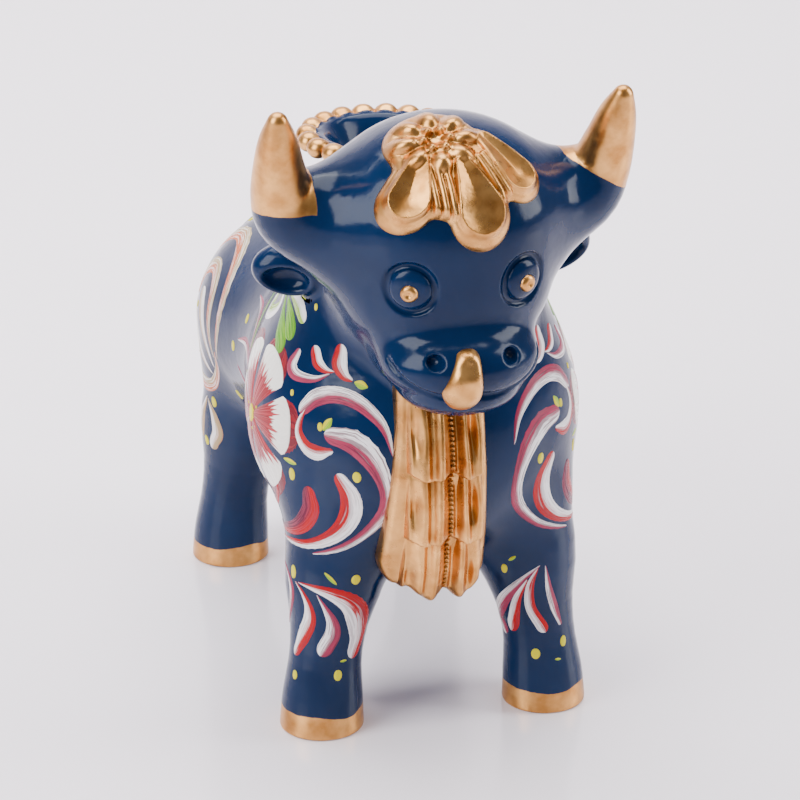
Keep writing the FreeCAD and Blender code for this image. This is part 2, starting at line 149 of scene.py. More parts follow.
def smooth_limb(stations, count=16):
    """A limb along a smooth curve; each station is x, y, z and radius."""
    rows = curve_through(stations, count)
    return limb(rows[:, :3], rows[:, 3])


def near(shape, points, margin):
    """Which points lie within a margin of a shape's box."""
    low, high = shape["low"] - margin, shape["high"] + margin
    return ((points > low) & (points < high)).all(1)


def distance_near(shape, points, margin=14.0):
    """Distances to a shape, left at a large number away from its box."""
    close = near(shape, points, margin)
    result = np.full(len(points), FAR)
    result[close] = shape["distance"](points[close])
    return result


def smooth_min(a, b, blend):
    """The nearer of two distances, with a fillet about as wide as the blend."""
    overlap = np.maximum(blend - np.abs(a - b), 0.0) / blend
    return np.minimum(a, b) - overlap**2 * blend / 4


def smooth_max(a, b, blend):
    """The farther of two distances, with a rounded edge."""
    return -smooth_min(-a, -b, blend)


# ------------------------------------------------------------------ the figure
CHEST = spot("torso_shell", 0.5, 0.270, 0.400)
RUMP = spot("torso_shell", 0.5, 0.760, 0.390)
NECK_BASE = spot("torso_shell", 0.5, 0.300, 0.560)
NECK_TOP = spot("torso_shell", 0.5, 0.170, 0.900)
SKULL = spot("head_shell", 0.5, 0.570, 0.630)
CHEEKS = spot("head_shell", 0.5, 0.490, 0.370)
MUZZLE = spot("head_shell", 0.5, 0.310, 0.175)
CHIN = spot("head_shell", 0.5, 0.300, 0.065)
SPOUT = spot("spout", 0.5, 0.5, 1.0)
CHIN_HEIGHT = BOXES["head_shell"][0][2]
HEM_HEIGHT = BOXES["dewlap"][0][2]


def torso_lumps():
    """Chest, back, rump and neck: shape and blend, in the order they are added."""
    back = (CHEST + RUMP) / 2 + 1.5 * Z
    return [
        (ellipsoid(CHEST, (41.5, 41, 37.5)), 1),
        (ellipsoid(back, (34, 46, 32)), 14),
        (ellipsoid(RUMP, (38.5, 37, 31)), 12),
        (limb([NECK_BASE, (NECK_BASE + NECK_TOP) / 2 + 2 * Y, NECK_TOP], [30, 28.5, 24]), 18),
    ]


def head_lumps():
    """Skull, cheeks, muzzle and chin."""
    return [
        (ellipsoid(SKULL, (30, 27.5, 24.5)), 5),
        (ellipsoid(CHEEKS, (24.5, 20.5, 17)), 9),
        (ellipsoid(MUZZLE, (19.5, 17, 10.5)), 4.5),
        (ellipsoid(CHIN, (14.5, 13.5, 6.5)), 3),
    ]


def horn_stations(side):
    """Places and radii along a horn, from inside the skull to the tip."""
    def place(across, along, up):
        return spot(f"horn_{side}", across if side == "left" else 1 - across, along, up)

    shape = [(0.10, 0.55, 0.27, 13.0), (0.50, 0.50, 0.36, 10.6), (0.69, 0.42, 0.48, 7.7),
             (0.755, 0.32, 0.64, 6.2), (0.79, 0.22, 0.80, 4.7), (0.815, 0.13, 0.93, 2.5)]
    return [(*place(*row[:3]), row[3]) for row in shape]


def ear_shapes(side):
    """The leaf of an ear, and the hollow scooped out of its front."""
    out = SIDES[side]
    centre = spot(f"ear_{side}", 0.5 - 0.18 * out, 0.50, 0.38)
    outward, back = unit(np.array((out, 0.16, 0.10))), unit(np.array((-0.16 * out, 1.0, 0.25)))
    axes = np.array([outward, back, np.cross(outward, back)])
    leaf = ellipsoid(centre, (10.4, 5.8, 7.0), axes)
    hollow = ellipsoid(centre + 2.6 * axes[0] - 4.4 * axes[1] - 1.3 * Z, (5.8, 4.3, 4.0), axes)
    return leaf, hollow


def leg_stations(name):
    """Places and radii up a leg, from the sole into the torso."""
    shape = [(0.00, 10.6), (0.06, 10.4), (0.14, 10.1), (0.33, 9.1), (0.52, 10.0), (0.72, 12.6), (0.95, 13.5)]
    low, high = BOXES[name]
    front = "front" in name
    out = SIDES[name.split("_")[-1]]
    foot = np.array(((high[0] - 10.3) if out > 0 else (low[0] + 10.3), (low if front else high)[1], 0))
    foot[1] += 10.3 if front else -10.3
    hip = np.array((spot("torso_shell", 0.5 + 0.26 * out, 0, 0)[0], foot[1] + (4 if front else -8), high[2]))
    return [(*(foot + (hip - foot) * (rise**1.6, rise**1.6, rise)), radius) for rise, radius in shape]


def tail_stations():
    """Places and radii along the tail, up the rump and over to the right hip."""
    shape = [(0.84, 0.10, 0.00, 3.0), (0.84, 0.35, 0.30, 4.2), (0.84, 0.40, 0.62, 4.2),
             (0.66, 0.35, 0.86, 4.3), (0.36, 0.25, 0.86, 4.6), (0.20, 0.10, 0.66, 5.2),
             (0.17, 0.00, 0.46, 3.0)]
    return [(*spot("tail", *row[:3]), row[3]) for row in shape]


SPOUT_LOBES = 20
SPOUT_LIP = 19.0
SPOUT_STEM = 12.6


def spout_radius(height_below_rim, stem, lip):
    """The radius of a flared mouth, from its stem up to its lip."""
    flare = np.clip(1 - height_below_rim / 15.0, 0, 1.15)
    return stem + (lip - stem) * flare**2.2


def spout_outside(points):
    """The flared mouth with its ring of round lobes, as one solid."""
    local = points - SPOUT
    radius = np.hypot(local[:, 0], local[:, 1])
    below = -local[:, 2]
    wall = (radius - spout_radius(below, SPOUT_STEM, SPOUT_LIP - 0.5)) * 0.85
    body = smooth_max(smooth_max(wall, local[:, 2] + 1.2, 2.0), below - 34, 1.0)
    pitch = 2 * math.pi / SPOUT_LOBES
    angle = np.arctan2(local[:, 1], local[:, 0])
    folded = (angle + pitch / 2) % pitch - pitch / 2
    across = radius * np.sin(folded)
    out = radius * np.cos(folded) - SPOUT_LIP
    lobe = (np.sqrt((across / 1.08) ** 2 + (out / 0.95) ** 2 + ((local[:, 2] + 2.6) / 0.9) ** 2) - 2.9) * 0.9
    return smooth_min(body, lobe, 1.2)


def spout_inside(points):
    """The bore, which opens at the rim and ends in the hollow body."""
    local = points - SPOUT
    radius = np.hypot(local[:, 0], local[:, 1])
    bore = (radius - spout_radius(-local[:, 2], 8.6, SPOUT_LIP - 3.0)) * 0.85
    chamber = ellipsoid(np.zeros(3), (20, 30, 16))["distance"](local + 62 * Z)
    return smooth_min(smooth_max(bore, -local[:, 2] - 60, 1.0), chamber, 6)


def boxed(function, low, high):
    """A shape made from a distance function and its box."""
    return {"low": np.array(low, float), "high": np.array(high, float), "distance": function}


def spout_box():
    """The box of the spout with the stretch that goes down into the body."""
    low, high = BOXES["spout"]
    return low - (2, 2, 60), high + 2


EYE_RADIUS = 5.9


def skin_parts():
    """The lumps of each named piece of the skin: shape and blend."""
    parts = {
        "torso": torso_lumps(),
        "head": head_lumps(),
        "spout": [(boxed(spout_outside, *spout_box()), 6)],
        "tail": [(smooth_limb(tail_stations(), 22), 2.5)],
    }
    for side in SIDES:
        parts[f"horn_{side}"] = [(smooth_limb(horn_stations(side), 22), 9)]
        parts[f"ear_{side}"] = [(ear_shapes(side)[0], 2.5)]
        for end in ("front", "rear"):
            name = f"leg_{end}_{side}"
            parts[name] = [(smooth_limb(leg_stations(name), 16), 9)]
    return parts


PARTS = skin_parts()
# The tail and then the spout join the skin after everything else.
JOINED_LAST = ["tail", "spout"]
JOINED_FIRST = [name for name in PARTS if name not in JOINED_LAST]
LUMPS = [lump for name in JOINED_FIRST + JOINED_LAST for lump in PARTS[name]]


def smooth_skin(points, lumps=LUMPS):
    """The distance to the skin before anything is scooped out of it."""
    total = np.full(len(points), FAR)
    for shape, blend in lumps:
        total = smooth_min(total, distance_near(shape, points, blend + 8.0), blend)
    return smooth_max(total, -points[:, 2], 0.8)


def onto(points, field=smooth_skin, steps=8):
    """Points moved along the slope of a field until they lie on its surface."""
    points = np.array(points, float)
    for _ in range(steps):
        slope = gradient(field, points)
        points -= slope * (field(points) / np.maximum((slope**2).sum(1), 0.05))[:, None]
    return points


def gradient(field, points, step=0.05):
    """The slope of a field at each point."""
    result = np.empty_like(points)
    for axis, way in enumerate((X, Y, Z)):
        result[:, axis] = (field(points + step * way) - field(points - step * way)) / (2 * step)
    return result


def drop(start, way, field=smooth_skin, steps=40):
    """Points moved from outside along one direction until they meet a field."""
    points = np.array(start, float)
    way = unit(np.array(way, float))
    for _ in range(steps):
        points += way * np.clip(field(points), -2, 6)[:, None] * 0.9
    return points


# ------------------------------------------------------- hollows in the skin

def eye_place(side):
    """The middle of an eye on the skin, and the skin's outward direction there."""
    low, high = BOXES[f"eye_{side}"]
    start = (low + high) / 2 - 30 * Y
    middle = drop(start[None], Y)
    return middle[0], unit(gradient(smooth_skin, middle))[0]


def cross_axes(axis):
    """Three directions at right angles, of which the last is the axis."""
    axis = unit(np.array(axis, float))
    first = unit(np.cross(Z, axis))
    return np.array([first, np.cross(axis, first), axis])


def ring(centre, axis, radius, tube):
    """A ring of round section."""
    frame_axes = cross_axes(axis)
    reach = radius + tube

    def distance(points):
        local = (points - centre) @ frame_axes.T
        return np.hypot(np.hypot(local[:, 0], local[:, 1]) - radius, local[:, 2]) - tube

    return {"low": centre - reach, "high": centre + reach, "distance": distance}


def on_face(x, rise):
    """The point of the smooth skin straight behind x and a height above the chin, from the front."""
    return drop(np.array([[x, -110.0, CHIN_HEIGHT + rise]]), Y)[0]


def mouth_path(out):
    """Half of the mouth line, from the middle of the lips up into a cheek."""
    rows = [(0.0, 6.4), (5.5, 5.9), (11.5, 7.2), (16.3, 10.4), (18.4, 13.8)]
    return curve_through([on_face(out * x, rise) for x, rise in rows], 12)


def skin_cuts():
    """Everything scooped out of the skin: shape and rounding."""
    cuts = [(boxed(spout_inside, SPOUT - (24, 34, 82), SPOUT + (24, 34, 6)), 1.2)]
    for side, out in SIDES.items():
        cuts.append((ear_shapes(side)[1], 1.6))
        middle, way = eye_place(side)
        cuts.append((ring(middle - 0.3 * way, way, EYE_RADIUS, 0.95), 0.6))
        nostril = on_face(out * 9.4, 15.2)
        cuts.append((ellipsoid(nostril - 0.5 * Y, (2.1, 3.4, 1.9)), 0.9))
        cuts.append((limb(mouth_path(out) - 0.2 * Y, np.linspace(1.15, 0.4, 12)), 0.8))
    return cuts


CUTS = skin_cuts()


def skin(points):
    """The distance to the finished blue skin."""
    total = smooth_skin(points)
    for shape, rounding in CUTS:
        total = smooth_max(total, -distance_near(shape, points, 6), rounding)
    return total


# ------------------------------------------------------------------ the mesher
BLOCK = 5
CORNERS = np.array(list(itertools.product((0, 1), repeat=3)))


def every_index(counts):
    """Every index of a grid with these counts, one per row."""
    return np.stack(np.meshgrid(*map(np.arange, counts), indexing="ij"), -1).reshape(-1, 3)


def sampled(field, low, high, pitch):
    """Distances on a grid of points; far from the surface only their sign is right."""
    counts = np.ceil((high - low) / (pitch * BLOCK)).astype(int)
    blocks = every_index(counts)
    rough = field(low + pitch * (BLOCK * blocks + (BLOCK - 1) / 2))
    close = np.abs(rough) < pitch * BLOCK * 1.2
    fine = low + pitch * (BLOCK * blocks[close][:, None] + every_index([BLOCK] * 3))
    values = np.where(rough > 0, FAR, -FAR)[:, None] * np.ones(BLOCK**3)
    values[close] = field(fine.reshape(-1, 3)).reshape(-1, BLOCK**3)
    values = values.reshape(*counts, BLOCK, BLOCK, BLOCK)
    return values.transpose(0, 3, 1, 4, 2, 5).reshape(counts * BLOCK)


def cell_vertices(values, cells):
    """One vertex per crossed cell: the mean of the crossings on its edges."""
    corner_values = [values[tuple((cells + corner).T)] for corner in CORNERS]
    total = np.zeros(cells.shape)
    crossings = np.zeros(len(cells))
    for i, corner in enumerate(CORNERS):
        for axis in range(3):
            if corner[axis]:
                continue
            start, end = corner_values[i], corner_values[i + (4, 2, 1)[axis]]
            crossed = (start < 0) != (end < 0)
            share = start / np.where(crossed, start - end, 1)
            total += (corner + share[:, None] * np.eye(3)[axis]) * crossed[:, None]
            crossings += crossed
    return cells + total / crossings[:, None]


def surface_net(values):
    """The zero surface of a grid as vertices, in steps of the grid, and quads."""
    solid = values < 0
    nx, ny, nz = values.shape
    filled = sum(solid[i:nx - 1 + i, j:ny - 1 + j, k:nz - 1 + k].astype(np.int8) for i, j, k in CORNERS)
    cells = np.argwhere((filled > 0) & (filled < 8))
    number = np.full(filled.shape, -1)
    number[tuple(cells.T)] = np.arange(len(cells))
    steps = np.eye(3, dtype=int)
    quads = []
    for axis in range(3):
        across, over = steps[(axis + 1) % 3], steps[(axis + 2) % 3]
        inner = [slice(1, -1)] * 3
        inner[axis] = slice(0, -1)
        start = solid[tuple(inner)]
        inner[axis] = slice(1, None)
        edges = np.argwhere(start != solid[tuple(inner)])
        around = [number[tuple((edges + shift).T)] for shift in (0 * across, across, across + over, over)]
        quad = np.stack(around, 1)
        inward = ~start[tuple(edges.T)]
        quad[inward] = quad[inward][:, ::-1]
        quads.append(quad)
    return cell_vertices(values, cells), np.vstack(quads)


def meshed(field, low, high, pitch, steps=2):
    """A closed quad mesh of a field's surface: vertices, normals and faces."""
    low, high = np.array(low, float), np.array(high, float)
    places, faces = surface_net(sampled(field, low, high, pitch))
    vertices = onto(low + pitch * places, field, steps)
    return vertices, unit(gradient(field, vertices)), faces


def open_edges(faces):
    """The edges, one way round, that only one face has."""
    edges = np.concatenate([np.stack([faces[:, i], faces[:, (i + 1) % 4]], 1) for i in range(4)])
    size = edges.max() + 1
    forward = edges[:, 0] * size + edges[:, 1]
    backward = edges[:, 1] * size + edges[:, 0]
    return edges[~np.isin(forward, backward)]


def loops_of(edges):
    """Edges joined head to tail into closed loops."""
    following = {}
    for a, b in edges.tolist():
        following.setdefault(a, []).append(b)
    loops = []
    while following:
        start = next(iter(following))
        loop = []
        here = start
        while True:
            loop.append(here)
            after = following[here].pop()
            if not following[here]:
                del following[here]
            here = after
            if here == start:
                break
        loops.append(loop)
    return loops


def capped(vertices, normals, faces):
    """The part of a mesh that some faces make, closed with a fan over each opening."""
    used, numbers = np.unique(faces, return_inverse=True)
    faces = numbers.reshape(-1, 4)
    vertices = vertices[used].tolist()
    normals = normals[used].tolist()
    polygons = faces.tolist()
    for loop in loops_of(open_edges(faces)) if len(faces) else []:
        vertices.append(np.mean([vertices[i] for i in loop], 0).tolist())
        normals.append((0.0, 0.0, 1.0))
        middle = len(vertices) - 1
        polygons += [(b, a, middle) for a, b in zip(loop, loop[1:] + loop[:1])]
    return np.array(vertices), np.array(normals), polygons


def make_object(name, vertices, polygons, normals=None, **attributes):
    """A smooth mesh object from millimetres, with a float attribute for each keyword."""
    mesh = bpy.data.meshes.new(name)
    mesh.from_pydata((np.asarray(vertices) * METRE).tolist(), [], [list(p) for p in polygons])
    mesh.shade_smooth()
    if normals is not None:
        mesh.normals_split_custom_set_from_vertices(np.asarray(normals).tolist())
    for key, values in attributes.items():
        mesh.attributes.new(key, "FLOAT", "POINT").data.foreach_set("value", np.asarray(values, np.float32))
    piece = bpy.data.objects.new(name, mesh)
    bpy.context.scene.collection.objects.link(piece)
    return piece


# --------------------------------------------------------- pieces of the skin

REPLACED = {"torso": "torso_shell", "head": "head_shell"}


def nearest_part(points):
    """The number of the piece whose lumps lie nearest, for each point."""
    distances = [np.min([distance_near(shape, points, 30.0) for shape, _ in lumps], 0)
                 for lumps in PARTS.values()]
    return np.argmin(distances, 0)


UNPAINTED = -9.0
HOOF_GOLD = 5.8
SPOUT_GOLD = {"radius": 16.6, "depth": 6.2}
# The edge of a horn's gold: how far it tilts, its height in the horn's box, and
# how far it may reach in from the horn's middle line.
HORN_GOLD = {"left": (0.52, 0.53, 8.2), "right": (0.02, 0.42, 5.6)}


def gold_edge(points, name):
    """How far inside the gold paint a point lies, in millimetres; below 0 outside it."""
    if name.startswith("horn"):
        side = name.split("_")[1]
        out = SIDES[side]
        tilt, up, inward = HORN_GOLD[side]
        middle = spot(name, 0.5 + 0.16 * out, 0.5, 0.5)[0]
        above = (points - spot(name, 0.5, 0.5, up)) @ unit(np.array((tilt * out, 0.0, 0.857)))
        return np.minimum(above, (points[:, 0] - middle) * out + inward)
    if name.startswith("leg"):
        return HOOF_GOLD + 0.5 * np.sin(points[:, 0] * 0.35 + points[:, 1] * 0.21) - points[:, 2]
    if name == "spout":
        local = points - SPOUT
        radius = np.hypot(local[:, 0], local[:, 1])
        return np.minimum(radius - SPOUT_GOLD["radius"], local[:, 2] + SPOUT_GOLD["depth"])
    return np.full(len(points), UNPAINTED)


def skin_pieces(pitch):
    """Every piece of the blue skin as its own closed mesh, sharing its seams with its neighbours."""
    low, high = (np.array(corner) / METRE for corner in cad_box)
    vertices, normals, faces = meshed(skin, low - 4, high + 4, pitch)
    label = nearest_part(vertices[faces].mean(1))
    for number, name in enumerate(PARTS):
        points, ways, polygons = capped(vertices, normals, faces[label == number])
        sole = np.minimum(0.35 - points[:, 2], -ways[:, 2] - 0.6)
        piece = make_object(name, points, polygons, ways, gold=gold_edge(points, name), sole=sole)
        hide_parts(REPLACED.get(name, name))
        finish_piece(piece, GLAZE)


# ------------------------------------------------------------------- materials

def new_material(name):
    """An empty node material with a Principled shader joined to its output."""
    material = bpy.data.materials.new(name)
    material.use_nodes = True
    nodes = material.node_tree.nodes
    nodes.clear()
    shader = nodes.new("ShaderNodeBsdfPrincipled")
    output = nodes.new("ShaderNodeOutputMaterial")
    material.node_tree.links.new(shader.outputs[0], output.inputs[0])
    return material, shader


def add(material, kind, links=(), **values):
    """A node with its sockets set; links are (socket, source) pairs."""
    tree = material.node_tree
    node = tree.nodes.new(kind)
    for key, value in values.items():
        if hasattr(node, key):
            setattr(node, key, value)
        else:
            node.inputs[key.replace("_", " ")].default_value = value
    for socket, source in links:
        tree.links.new(source, node.inputs[socket])
    return node


def mixed(material, share, first, second):
    """The mix of two colours; each is a socket or four numbers."""
    node = add(material, "ShaderNodeMix", data_type="RGBA")
    for number, value in ((0, share), (6, first), (7, second)):
        if isinstance(value, bpy.types.NodeSocket):
            material.node_tree.links.new(value, node.inputs[number])
        else:
            node.inputs[number].default_value = value
    return node.outputs[2]


def remapped(material, value, start, end, low=0.0, high=1.0):
    """A socket's value taken from one range to another and held inside it."""
    node = add(material, "ShaderNodeMapRange", [("Value", value)])
    for socket, number in zip(("From Min", "From Max", "To Min", "To Max"), (start, end, low, high)):
        node.inputs[socket].default_value = number
    return node.outputs[0]


def noise(material, scale, detail=3.0, stretch=None):
    """Noise over the object, with its scale in ripples a metre."""
    where = add(material, "ShaderNodeTexCoord").outputs["Object"]
    if stretch is not None:
        mapping = add(material, "ShaderNodeMapping", [("Vector", where)])
        mapping.inputs["Scale"].default_value = stretch
        where = mapping.outputs[0]
    node = add(material, "ShaderNodeTexNoise", [("Vector", where)], Scale=scale, Detail=detail)
    return node.outputs[0]


def attribute(material, name):
    """A mesh attribute as a socket."""
    return add(material, "ShaderNodeAttribute", attribute_name=name).outputs["Fac"]


def arithmetic(material, operation, first, second):
    """Two values, sockets or numbers, put through one Math node."""
    node = add(material, "ShaderNodeMath", operation=operation)
    for number, value in enumerate((first, second)):
        if isinstance(value, bpy.types.NodeSocket):
            material.node_tree.links.new(value, node.inputs[number])
        else:
            node.inputs[number].default_value = value
    return node.outputs[0]


def bumped(material, shader, height, strength, distance):
    """Roughens a shader's surface with a height socket."""
    node = add(material, "ShaderNodeBump", [("Height", height)], Strength=strength, Distance=distance)
    material.node_tree.links.new(node.outputs[0], shader.inputs["Normal"])


def wire(material, source, shader, socket):
    """Joins a socket to one of the shader's."""
    material.node_tree.links.new(source, shader.inputs[socket])


NAVY = (0.0010, 0.0155, 0.060, 1)
NAVY_DEEP = (0.0006, 0.0110, 0.046, 1)
GOLD = (0.72, 0.37, 0.115, 1)
GOLD_DEEP = (0.46, 0.20, 0.050, 1)
CLAY = (0.62, 0.49, 0.38, 1)


# How strongly every glaze and enamel mirrors the lights.
GLOSS = 0.2


def glaze_material():
    """Navy glaze, with gold lustre and bare clay where the attributes say."""
    material, shader = new_material("navy_glaze")
    cloud = noise(material, 45, 4)
    navy = mixed(material, remapped(material, cloud, 0.35, 0.65), NAVY_DEEP, NAVY)
    lustre = mixed(material, remapped(material, noise(material, 210, 5), 0.35, 0.65), GOLD_DEEP, GOLD)
    grain = arithmetic(material, "SUBTRACT", noise(material, 260), 0.5)
    ragged = arithmetic(material, "MULTIPLY", grain, 0.9)
    edge = arithmetic(material, "ADD", attribute(material, "gold"), ragged)
    golden = remapped(material, edge, -0.06, 0.06)
    bare = remapped(material, attribute(material, "sole"), -0.05, 0.05)
    wire(material, mixed(material, bare, mixed(material, golden, navy, lustre), CLAY), shader, "Base Color")
    metal = arithmetic(material, "MULTIPLY", golden, arithmetic(material, "SUBTRACT", 1.0, bare))
    wire(material, metal, shader, "Metallic")
    satin = remapped(material, golden, 0, 1, 0.13, 0.30)
    rough = arithmetic(material, "ADD", satin, arithmetic(material, "MULTIPLY", bare, 0.6))
    worn = remapped(material, noise(material, 420, 4), 0.3, 0.7, -0.02, 0.05)
    wire(material, arithmetic(material, "ADD", rough, worn), shader, "Roughness")
    ripple = arithmetic(material, "ADD", noise(material, 130, 2),
                        arithmetic(material, "MULTIPLY", noise(material, 900, 2), 0.10))
    bumped(material, shader, ripple, 0.30, 0.0006)
    shader.inputs["Specular IOR Level"].default_value = GLOSS
    return material


def lustre_material():
    """Gold lustre fired over the glaze: satin, with a darker wash in random patches."""
    material, shader = new_material("gold_lustre")
    wash = mixed(material, remapped(material, noise(material, 160, 5), 0.35, 0.65), GOLD_DEEP, GOLD)
    wire(material, wash, shader, "Base Color")
    shader.inputs["Metallic"].default_value = 1.0
    wire(material, remapped(material, noise(material, 380, 4), 0.3, 0.7, 0.25, 0.37), shader, "Roughness")
    ripple = arithmetic(material, "ADD", noise(material, 240, 2),
                        arithmetic(material, "MULTIPLY", noise(material, 1300, 2), 0.12))
    bumped(material, shader, ripple, 0.35, 0.0005)
    return material


GLAZE = glaze_material()
LUSTRE = lustre_material()


def finish_piece(piece, material):
    """Gives a piece its material and its place on the object."""
    piece.data.materials.append(material)
    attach(piece, "root")
    return piece


skin_pieces(pitch=0.65)


# ------------------------------------------------------- gold parts in relief
# A relief is a height over a base, for points of a flat chart, and an outline.
# Its solid fills from a little under the base up to that height.

def plate(base, height, outline, under, rounding):
    """The solid of a relief; the rounding is how far its edge rolls over."""
    def field(points):
        above = base(points)
        front = (above - height(points)) * 0.7
        return smooth_max(smooth_max(front, outline(points), rounding), -above - under, 0.6)
    return field


def flat_limb(a, b, path, radii):
    """The distance from points of a chart to a tapering stroke drawn on it."""
    shape = limb([(*point, 0.0) for point in path], radii)
    return shape["distance"](np.stack([a, b, np.zeros(len(a))], 1))


def swell(distance, width, rise):
    """A rounded ridge: its rise at a line, falling smoothly to nothing at the width."""
    return rise * np.clip(1 - (np.maximum(distance, 0) / width) ** 2, 0, 1)


def hollow(value, centre, width, depth):
    """A soft groove across a value."""
    return depth * np.exp(-((value - centre) / width) ** 2)


BROW = unit(np.array((0, -0.77, 0.64)))
BROW_UP = np.cross(BROW, X)
BROW_SPOT = SKULL + 27 * BROW


def brow_chart(points):
    """Places across and up the brow."""
    local = points - BROW_SPOT
    return local @ X, local @ BROW_UP


# Petals: where the middle line starts and ends, and the radius at both ends.
PETALS = [
    ((-10.6, 3.0), (-14.2, -5.4), 2.6, 5.3),
    ((-0.6, 1.0), (2.3, -10.6), 2.4, 6.0),
    ((6.2, 7.8), (12.9, -1.6), 2.4, 4.8),
]
SKIRT = [((-5.6, 4.0), (-6.0, -7.4), 5.0, 3.6), ((3.0, 5.0), (7.6, -4.2), 4.0, 3.2)]
SKIRT_HEIGHT = 1.7
RIBS = [
    [(-8.6, 1.5), (-8.0, -9.6)], [(-6.7, 1.5), (-5.9, -10.4)], [(-4.9, 1.5), (-3.9, -10.8)],
    [(3.6, 3.0), (8.2, -7.6)], [(4.9, 3.6), (9.6, -6.2)],
]
# Rings of the flower: how many lobes, how far out, half length, half width, height.
KNOB_RINGS = [(8, 7.2, 4.2, 3.1, 4.5), (6, 3.1, 2.0, 1.8, 4.6)]
KNOB = (-5.4, 8.6)
KNOB_RADIUS = 10.6


def from_knob(a, b):
    """The distance from the middle of the flower on the crown."""
    return np.hypot(a - KNOB[0], (b - KNOB[1]) * 1.12)


def knob_height(a, b):
    """The flower on the crown: a ring of round petals, a ring of beads and a pit."""
    radius = from_knob(a, b)
    angle = np.arctan2((b - KNOB[1]) * 1.12, a - KNOB[0])
    height = swell(radius, KNOB_RADIUS + 1.5, 3.2)
    for count, middle, long, wide, top in KNOB_RINGS:
        pitch = 2 * math.pi / count
        folded = (angle + pitch / 2) % pitch - pitch / 2
        away = np.hypot((radius * np.cos(folded) - middle) / long, radius * np.sin(folded) / wide)
        height = smooth_max(height, 1.8 + swell(away, 1.0, top - 1.8), 1.1)
    return height - hollow(radius, 0, 1.5, 2.0)


def forelock_outline(points):
    """The scalloped edge round the petals and the flower."""
    a, b = brow_chart(points)
    edge = from_knob(a, b) - KNOB_RADIUS - 0.6
    for start, end, narrow, wide in PETALS:
        edge = smooth_min(edge, flat_limb(a, b, [start, end], [narrow, wide]) - 1.6, 2.0)
    for start, end, narrow, wide in SKIRT:
        edge = smooth_min(edge, flat_limb(a, b, [start, end], [narrow, wide]), 2.0)
    return edge


def forelock_height(points):
    """Spoon shaped petals that fan down over a fluted skirt."""
    a, b = brow_chart(points)
    height = np.full(len(a), SKIRT_HEIGHT)
    for path in RIBS:
        rib = swell(flat_limb(a, b, path, [0.1, 0.1]), 1.0, 1.3)
        height = smooth_max(height, SKIRT_HEIGHT + rib, 0.4)
    for start, end, narrow, wide in PETALS:
        inside = -flat_limb(a, b, [start, end], [narrow, wide])
        dish = 1.3 * np.sin(np.clip((inside - 0.8) / 4.6, 0, 1) * 1.57)
        petal = SKIRT_HEIGHT + 1.8 * smoothstep(inside, -0.5, 0.8) - dish
        height = np.where(inside > 0.4, petal, smooth_max(height, petal, 0.3))
    flower = np.where(from_knob(a, b) < KNOB_RADIUS + 1.5, knob_height(a, b), -2)
    return smooth_max(height, flower, 0.7)


# The dewlap: its seam, the top and hem of each tier of folds, and the line of the
# sheet behind them, as heights over the hem and places from front to rear.
SEAM_X = -2.5
TIERS = [(59.0, 37.6), (38.4, 19.8), (20.6, -2.0)]
DEWLAP_LINE = [(62, -66.5), (50, -67.6), (36, -68.6), (19, -66.4), (10, -63.2), (0, -59.0)]


def dewlap_chart(points):
    """Places out from the seam and up from the hem, and which are on the right."""
    across = points[:, 0] - SEAM_X
    return np.abs(across), points[:, 2] - HEM_HEIGHT, across < 0


def dewlap_base(points):
    """How far points stand in front of the curved sheet that the dewlap is laid on."""
    levels, fronts = np.array(DEWLAP_LINE[::-1]).T
    front = np.interp(points[:, 2] - HEM_HEIGHT, levels, fronts)
    return (front + (points[:, 0] - SEAM_X) ** 2 / 64 - points[:, 1]) * 0.93


def fold_edge(rise, right):
    """Where the folds end, out from the seam; the strip beyond them starts there."""
    return np.where(right, 10.5 + 0.01 * (48 - rise), 8.2 + 0.035 * (48 - rise))


def hem(out, right):
    """The height of the wavy hem."""
    wave = np.cos((out - np.where(right, 3.4, 4.0)) * 0.72)
    return 2.4 - 1.4 * wave + np.maximum(out - 7, 0) * 0.75


def dewlap_outline(points):
    """The edge of the strips, the top under the chin and the ragged hem."""
    out, rise, right = dewlap_chart(points)
    strip = fold_edge(rise, right) + 1.6 + np.where(right, 0.08, 0.0) * np.maximum(48 - rise, 0)
    return smooth_max(out - strip, (hem(out, right) - rise) * 0.8, 2.5)


def dewlap_height(points):
    """Three tiers of soft folds on each side of a beaded seam, each over the next."""
    out, rise, right = dewlap_chart(points)
    edge = fold_edge(rise, right)
    share = np.clip(out / edge, 0, 1.4)
    height = np.full(len(out), 0.9)
    for number, (top, bottom) in enumerate(TIERS):
        lip = hem(out, right) - 2
        if number < 2:
            lip = bottom - 2.2 * np.sin(math.pi * np.clip(share, 0, 1))
        down = np.clip((top - rise) / (top - lip), 0, 1)
        fold = 0.5 + 3.2 * np.sin(math.pi / 2 * np.clip(1.15 * down, 0, 1))
        fold += hollow(share, np.where(right, 0.24, 0.40) + 0.04 * down, 0.13, 1.6)
        fold += hollow(share, np.where(right, 0.66, 0.80) - 0.03 * number, 0.18, 1.5)
        fold -= hollow(share, np.where(right, 0.44, 0.17), 0.09, np.where(right, 0.5, 1.3))
        dent = hollow(share, np.where(right, 0.80, 0.62), 0.13, 1.0)
        fold -= hollow(rise, (top + bottom) / 2 - 1, 4.5, 1.8) * dent
        fold *= smoothstep(np.minimum(rise - lip, 1.5 * (edge - out)), -0.2, 1.5)
        height = np.where(rise < top + 0.8, smooth_max(height, fold, 0.4), height)
    return height - hollow(out, 0, 0.6, 0.9) * (1 + 0.3 * np.sin(rise * 5.2))


def tongue_chart(points):
    """Places across the face and up from the chin."""
    return points[:, 0], points[:, 2] - CHIN_HEIGHT


def tongue_outline(points):
    """Broad at the lip and narrower where it turns up over the nose."""
    return flat_limb(*tongue_chart(points), [(-3.1, 7.5), (-1.8, 15.7)], [4.9, 3.0])


